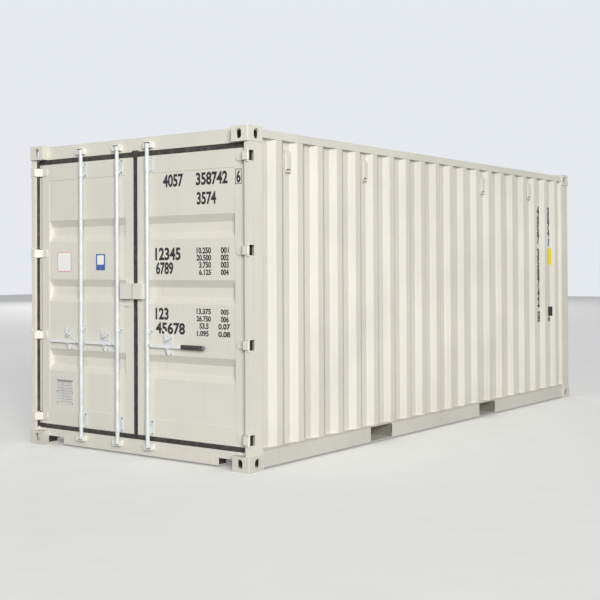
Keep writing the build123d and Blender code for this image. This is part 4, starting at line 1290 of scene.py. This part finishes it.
@dataclass
class SmallHeads:
    """The floor's screw heads and the rivets of the ventilators."""

    floor_level: float = 171.5
    member_pitch: float = 300.0
    members: int = 18
    screws_across: int = 12
    screw_reach: float = 1100.0
    screw: tuple[Pair, ...] = ((6.0, -0.3), (6.0, 0.3), (3.4, 0.5), (3.0, 0.1))
    screw_corners: int = 10
    vent_level: float = 2360.0
    vent_reach: Pair = (28.0, 102.0)
    vent_face: float = 1177.0
    rivet: Pair = (4.5, 2.2)

    def build(self) -> None:
        """Puts a row of screws over every cross member, and four rivets on every ventilator."""
        along = self.member_pitch * (np.arange(self.members) - (self.members - 1) / 2)
        across = np.linspace(-self.screw_reach, self.screw_reach, self.screws_across)
        grid = [(x, y, self.floor_level) for x in along for y in across]
        head = Form.turned(self.screw, self.screw_corners)
        assemble("floor_screws", [head.repeated(grid).mesh(MODEL)], BOLT_ZINC, Body.CONTAINER)
        wide, tall = self.vent_reach
        spots = [
            (x + a * wide, self.vent_level + b * tall, 0.0)
            for x in VENT_PLACES for a in (-1, 1) for b in (-1, 1)
        ]
        rivets = Form.dome(*self.rivet).repeated(spots)
        heads = [rivets.mesh(wall_face(side, self.vent_face)) for side in (-1, 1)]
        assemble("vent_rivets", heads, WALL_PAINT, Body.CONTAINER)


@dataclass
class LeafEdges:
    """What the hinges part at a leaf's edge: a painted strip, the seal's lip, and the paint on the lip.

    The paint, called trim, lies on the lip's front and on its outer side; its paler enamel paints light over
    the shade there.
    """

    gap: float = 41.0
    strip: Pair = (1137.5, 1160.0)
    strip_span: Pair = (180.0, 2428.0)
    strip_out: Pair = (0.2, 2.6)
    lip: Pair = (1161.0, 1167.0)
    lip_span: Pair = (151.0, 2459.0)
    lip_out: Pair = (0.2, 35.4)
    lip_edge: float = 1.2
    front: Pair = (1160.6, 1167.4)
    front_out: Pair = (35.5, 36.9)
    side: Pair = (1167.05, 1167.8)
    side_out: Pair = (0.3, 36.9)

    def build(self) -> None:
        """Puts all three on each leaf, parted at the hinges."""
        for way, body, name in LEAVES:
            strip = self.runs(way, self.strip, self.strip_span, self.strip_out)
            assemble(f"leaf_edge_strip_{name}", [strip.mesh(STILE)], DOOR_PAINT, body)
            lip = self.runs(way, self.lip, self.lip_span, self.lip_out)
            piece = assemble(f"seal_lip_{name}", [lip.mesh(STILE)], SEAL_RUBBER, body)
            soften(piece, self.lip_edge)
            trims = [
                self.runs(way, self.front, self.lip_span, self.front_out),
                self.runs(way, self.side, self.lip_span, self.side_out),
            ]
            assemble(f"seal_trim_{name}", [trim.mesh(STILE) for trim in trims], TRIM_LIT_PAINT, body)

    def runs(self, way: int, across: Pair, span: Pair, out: Pair) -> Form:
        """Cuts an upright run at the hinges.

        Args:
            way: -1 for the left leaf and 1 for the right one.
            across, span, out: the run's ends across, upwards and outwards.

        Returns:
            One box for each stretch between the ends and the gaps round the hinges.
        """
        stops = [span[0]]
        for level in HINGE_LEVELS:
            stops += [level - self.gap, level + self.gap]
        stops.append(span[1])
        near, far = sorted((way * across[0], way * across[1]))
        pairs = zip(stops[::2], stops[1::2])
        return Form.joined([Form.block((near, low, out[0]), (far, high, out[1])) for low, high in pairs])


@dataclass
class ShadeLinings:
    """Dark linings that paint shade in the corner castings, behind the hinges and in the sill's notches."""

    casting_x: Pair = (2863.0, 3012.0)
    casting_y: Pair = (1069.0, 1202.0)
    casting_z: Pair = (29.0, 106.0)
    casting_gap: float = 0.2
    casting_short: float = 0.3
    casting_apart: float = 1.2
    height: float = 2591.0
    thickness: float = 0.7
    notch_x: Pair = (-3004.0, -2931.0)
    notch_y: float = 1180.2
    notch_half: float = 46.0
    sill_x: Pair = (-2960.5, -2866.5)
    sill_y: Pair = (866.1, 1055.9)
    sill_z: Pair = (18.0, 74.9)
    sill_gap: float = 0.1

    def build(self) -> None:
        """Puts the painted shade linings in the castings, the hinges' notches and the sill's notches."""
        self.castings()
        self.hinge_notches()
        self.sill_notches()

    def castings(self) -> None:
        """Paints shade with dark linings on the end, side and flat wall of one casting, and mirrors that to
        all eight.
        """
        (x0, x1), (y0, y1), (z0, z1) = self.casting_x, self.casting_y, self.casting_z
        gap, short, apart, deep = self.casting_gap, self.casting_short, self.casting_apart, self.thickness
        corner = Form.joined([
            Form.block((x0 + gap, y0 + short, z0 + short), (x0 + gap + deep, y1 - short, z1 - short)),
            Form.block((x0 + apart, y0 + gap, z0 + short), (x1 - short, y0 + gap + deep, z1 - short)),
            Form.block((x0 + apart, y0 + apart, z1 - gap - deep), (x1 - short, y1 - short, z1 - gap)),
        ])
        pair = Form.joined([corner, corner.mirrored((1.0, 1.0, -1.0), (0.0, 0.0, self.height))])
        ends = [mesh for way in (-1, 1) for mesh in pair.mirrored((way, 1.0, 1.0)).both_sides()]
        assemble("casting_shade_linings", ends, SHADE_AND_BARE_STEEL, Body.CONTAINER)

    def hinge_notches(self) -> None:
        """Paints shade with dark linings on the rear posts behind the hinges."""
        (x0, x1), y = self.notch_x, self.notch_y
        backs = [
            Form.block((x0, y, level - self.notch_half), (x1, y + self.thickness, level + self.notch_half))
            for level in HINGE_LEVELS
        ]
        assemble("notch_linings", Form.joined(backs).both_sides(), SHADE_AND_BARE_STEEL, Body.CONTAINER)

    def sill_notches(self) -> None:
        """Paints shade with dark linings on the two sides and the top of each notch of the sill."""
        (x0, x1), (y0, y1), (z0, z1) = self.sill_x, self.sill_y, self.sill_z
        deep, gap = self.thickness, self.sill_gap
        inner = Form.joined([
            Form.block((x0, y0, z0), (x1, y0 + deep, z1)),
            Form.block((x0, y1 - deep, z0), (x1, y1, z1)),
            Form.block((x0, y0 + deep + gap, z1 - deep), (x1, y1 - deep - gap, z1)),
        ])
        assemble("sill_notch_shade_linings", inner.both_sides(), SHADE_AND_BARE_STEEL, Body.CONTAINER)


@dataclass
class VentLids:
    """The lid under the hood of every ventilator, and a dark strip beside the hood that paints the shade in
    the gap there.
    """

    lid_x: Pair = (-27.5, 27.5)
    lid_y: Pair = (1176.5, 1203.6)
    lid_z: Pair = (2268.8, 2273.0)
    shade_x: Pair = (-31.5, -27.2)
    shade_y: Pair = (1177.2, 1178.2)
    shade_z: Pair = (2270.0, 2450.0)

    def build(self) -> None:
        """Puts on the lids and the dark strips of painted shade, on both walls."""
        moves = [(x, 0.0, 0.0) for x in VENT_PLACES]
        lids = Form.block(*zip(self.lid_x, self.lid_y, self.lid_z)).repeated(moves)
        assemble("vent_lids", lids.both_sides(), WALL_PAINT, Body.CONTAINER)
        lines = Form.block(*zip(self.shade_x, self.shade_y, self.shade_z)).repeated(moves)
        assemble("vent_gap_shade", lines.both_sides(), GAP_SHADE_ENAMEL, Body.CONTAINER)


@dataclass
class BearingCovers:
    """The curved covers between the two saddles of every tall bearing."""

    levels: tuple[Pair, ...] = ((217.0, 277.0), (2331.0, 2391.0))
    bar_out: float = 23.0
    inner: float = 18.3
    outer: float = 21.2
    half_angle: float = 105.0

    def build(self) -> None:
        """Puts on the covers: an outer and an inner arc round the bar, carried between two levels."""
        turn = np.radians(np.linspace(-self.half_angle, self.half_angle, 17))
        arc = np.stack([np.sin(turn), np.cos(turn)], axis=-1)
        section = np.concatenate([self.outer * arc, self.inner * arc[::-1]])
        low = np.stack([section[:, 0], np.zeros(len(section)), section[:, 1] + self.bar_out], axis=-1)
        covers = [
            Form.rings(np.stack([low + (0.0, foot, 0.0), low + (0.0, head, 0.0)]))
            for foot, head in self.levels
        ]
        for _, leaf, name in LEAVES:
            spots = [(bar.across(), 0.0, 0.0) for bar in BARS if bar.leaf is leaf]
            meshes = [cover.repeated(spots).mesh(STILE) for cover in covers]
            assemble(f"bearing_covers_{name}", meshes, BAR_ZINC, leaf)


@dataclass
class GripTip:
    """The tapered end of the long handle's rubber sleeve."""

    rings: tuple[Triple, ...] = (
        (734.5, 16.5, 7.6), (746.0, 15.2, 7.0), (754.0, 12.4, 6.5), (759.0, 7.4, 6.1), (761.0, 3.0, 5.6),
    )
    level: float = 907.0
    out: float = 28.0
    corner_share: float = 0.45

    def build(self) -> None:
        """Joins rounded rectangles of a place along the handle, half a height and half a depth."""
        stations = []
        for across, half_height, half_depth in self.rings:
            flat = rounded(2 * half_depth, 2 * half_height, self.corner_share * half_depth)
            places = [np.full(len(flat), across), flat[:, 1] + self.level, flat[:, 0] + self.out]
            stations.append(np.stack(places, axis=-1))
        tip = Form.rings(np.array(stations))
        assemble("grip_tip", [tip.mesh(STILE)], GREY_RUBBER, Body.HANDLE_3, BEAD_SHARP)


@dataclass
class PhotoCamera:
    """The camera that took the photograph, from the corners of the castings in it."""

    position: Triple = (-9.43474, -6.29541, 1.52528)
    azimuth: float = -52.2134
    elevation: float = -0.69655
    roll: float = -0.24416
    focal: float = 1103.025
    centre: Pair = (259.970, 254.350)
    frame_pixels: int = 600
    sensor: float = 36.0
    far: float = 200.0

    def axes(self) -> tuple[np.ndarray, np.ndarray, np.ndarray]:
        """Works out the camera's own axes.

        Returns:
            Right, up and back as unit vectors: back from azimuth and elevation, then turned by the roll.
        """
        around, above, tilt = np.radians([self.azimuth, self.elevation, self.roll])
        back = np.array([
            np.sin(around) * np.cos(above), -np.cos(around) * np.cos(above), np.sin(above),
        ])
        right = np.cross(-back, (0.0, 0.0, 1.0))
        right /= np.linalg.norm(right)
        up = np.cross(back, right)
        return np.cos(tilt) * right + np.sin(tilt) * up, np.cos(tilt) * up - np.sin(tilt) * right, back

    def stand(self) -> None:
        """Makes the camera and makes it the scene's."""
        data = bpy.data.cameras.new("photo_camera")
        data.sensor_width = self.sensor
        data.lens = self.focal / self.frame_pixels * self.sensor
        data.shift_x = (self.frame_pixels / 2 - self.centre[0]) / self.frame_pixels
        data.shift_y = (self.centre[1] - self.frame_pixels / 2) / self.frame_pixels
        data.clip_end = self.far
        camera = add_object("photo_camera", data)
        matrix = np.eye(4)
        matrix[:3] = np.column_stack([*self.axes(), self.position])
        camera.matrix_world = Matrix(matrix.tolist())
        bpy.context.scene.camera = camera


@dataclass
class Studio:
    """A pale floor, a broad soft lamp from the doors' corner, a weak one from behind and a pale room."""

    lamp_from: Triple = (-0.60, -0.58, 0.21)
    lamp_distance: float = 40.0
    lamp_size: float = 17.0
    lamp_power: float = 15600.0
    lamp_colour: Colour = (1.0, 0.99, 0.968)
    lamp_aim: float = 1.3
    fill_from: Triple = (0.66, 0.62, 0.30)
    fill_power: float = 2600.0
    room_strength: float = 0.295
    room: Colour = (0.95, 0.975, 1.0)
    backdrop: Colour = linear(230, 234, 238)
    floor: Colour = linear(232, 232, 231)
    floor_shade: Colour = linear(226, 226, 225)
    floor_bounce: Colour = (0.22, 0.215, 0.2)
    floor_lift: float = 0.24
    floor_grain: float = 3.0
    floor_shine: float = 0.1
    floor_rough: float = 0.9
    floor_half: float = 45.0

    def build(self) -> None:
        """Makes the main lamp beyond the doors' corner, the fill lamp behind, the room and the floor."""
        self.light("main_lamp", self.lamp_from, self.lamp_power)
        self.light("fill_lamp", self.fill_from, self.fill_power)
        self.surround()
        self.ground()

    def light(self, name: str, from_where: Triple, power: float) -> None:
        """Makes a broad lamp that shines along its own -Z at the container.

        Args:
            name: the lamp's name.
            from_where: the direction that it stands in.
            power: its power in watts.
        """
        data = bpy.data.lights.new(name, "AREA")
        data.shape, data.size, data.energy = "DISK", self.lamp_size, power
        data.color = self.lamp_colour
        lamp = add_object(name, data)
        away = Vector(from_where).normalized()
        lamp.location = away * self.lamp_distance + Vector((0.0, 0.0, self.lamp_aim))
        lamp.rotation_euler = away.to_track_quat("Z", "Y").to_euler()

    def surround(self) -> None:
        """Makes the room: dim for light on the object, pale where it is seen, mirrored or seen through."""
        world = bpy.data.worlds.new("studio_room")
        bpy.context.scene.world = world
        world.use_nodes = True
        nodes = Nodes(world.node_tree)
        room, backdrop = (
            nodes.fed("ShaderNodeBackground", "Background", {"Color": colour, "Strength": strength})
            for colour, strength in ((self.room, self.room_strength), (self.backdrop, 1.0))
        )
        blend = nodes.fed("ShaderNodeMixShader", "Shader", {0: nodes.seen_rays(), 1: room, 2: backdrop})
        nodes.join(blend, nodes.add("ShaderNodeOutputWorld").inputs["Surface"])

    def ground(self) -> None:
        """Makes the floor, a square at ground level, pale where it is seen and dimmer for light."""
        half = self.floor_half
        mesh = bpy.data.meshes.new("studio_floor")
        corners = [(-half, -half, 0.0), (half, -half, 0.0), (half, half, 0.0), (-half, half, 0.0)]
        mesh.from_pydata(corners, [], [(0, 1, 2, 3)])
        sheet = Sheet("studio_floor")
        grain = sheet.noise(self.floor_grain, 3.0)
        seen = sheet.seen_rays()
        tone = sheet.mix(sheet.levels(grain, 0.3, 0.7, 0.0, 0.4), self.floor, self.floor_shade)
        sheet.uniform(Specular_IOR_Level=self.floor_shine)
        sheet.join(tone, sheet.shader.inputs["Emission Color"])
        sheet.join(sheet.sum("MULTIPLY", seen, self.floor_lift), sheet.shader.inputs["Emission Strength"])
        mesh.materials.append(sheet.finish(sheet.mix(seen, self.floor_bounce, tone), self.floor_rough))
        ground = add_object("studio_floor", mesh)


OWN_FINISHES: dict[str, Finish] = {
    **dict.fromkeys(("fork_pocket_walls", "fork_pocket_tops", "cross_members"), POCKET_SHADE_PAINT),
    "cam_keepers": KEEPER_ZINC,
    **dict.fromkeys(("handle_1", "handle_2", "handle_3", "catch_1", "catch_2", "catch_3"), HANDLE_LIT_ZINC),
}


def dress_nodes() -> None:
    """Gives every solid its own finish where it has one, and the finish of its material slot elsewhere."""
    finishes = {slot.value: finish for slot, finish in NODE_FINISHES.items()}
    for name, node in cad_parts.items():
        for place in node.material_slots:
            slot = place.material.name.split(".")[0]
            place.material = OWN_FINISHES.get(name, finishes[slot]).material()
        LOG.info("%s wears %s", name, node.material_slots[0].material.name)


def main() -> None:
    """Sets the scene, dresses the solids and adds the pieces in order."""
    logging.basicConfig(level=logging.INFO, format="%(name)s: %(message)s")
    bpy.context.scene.view_settings.view_transform = "Standard"
    PhotoCamera().stand()
    Studio().build()
    dress_nodes()
    wall = SideWall()
    LeafFigures().build()
    LeafLabels().build()
    SideMarks().build(wall)
    BarFittings().build()
    SeamFlap().build()
    Staple().build()
    Welds().build(wall)
    SmallHeads().build()
    LeafEdges().build()
    ShadeLinings().build()
    VentLids().build()
    BearingCovers().build()
    GripTip().build()


if __name__ == "__main__":
    main()
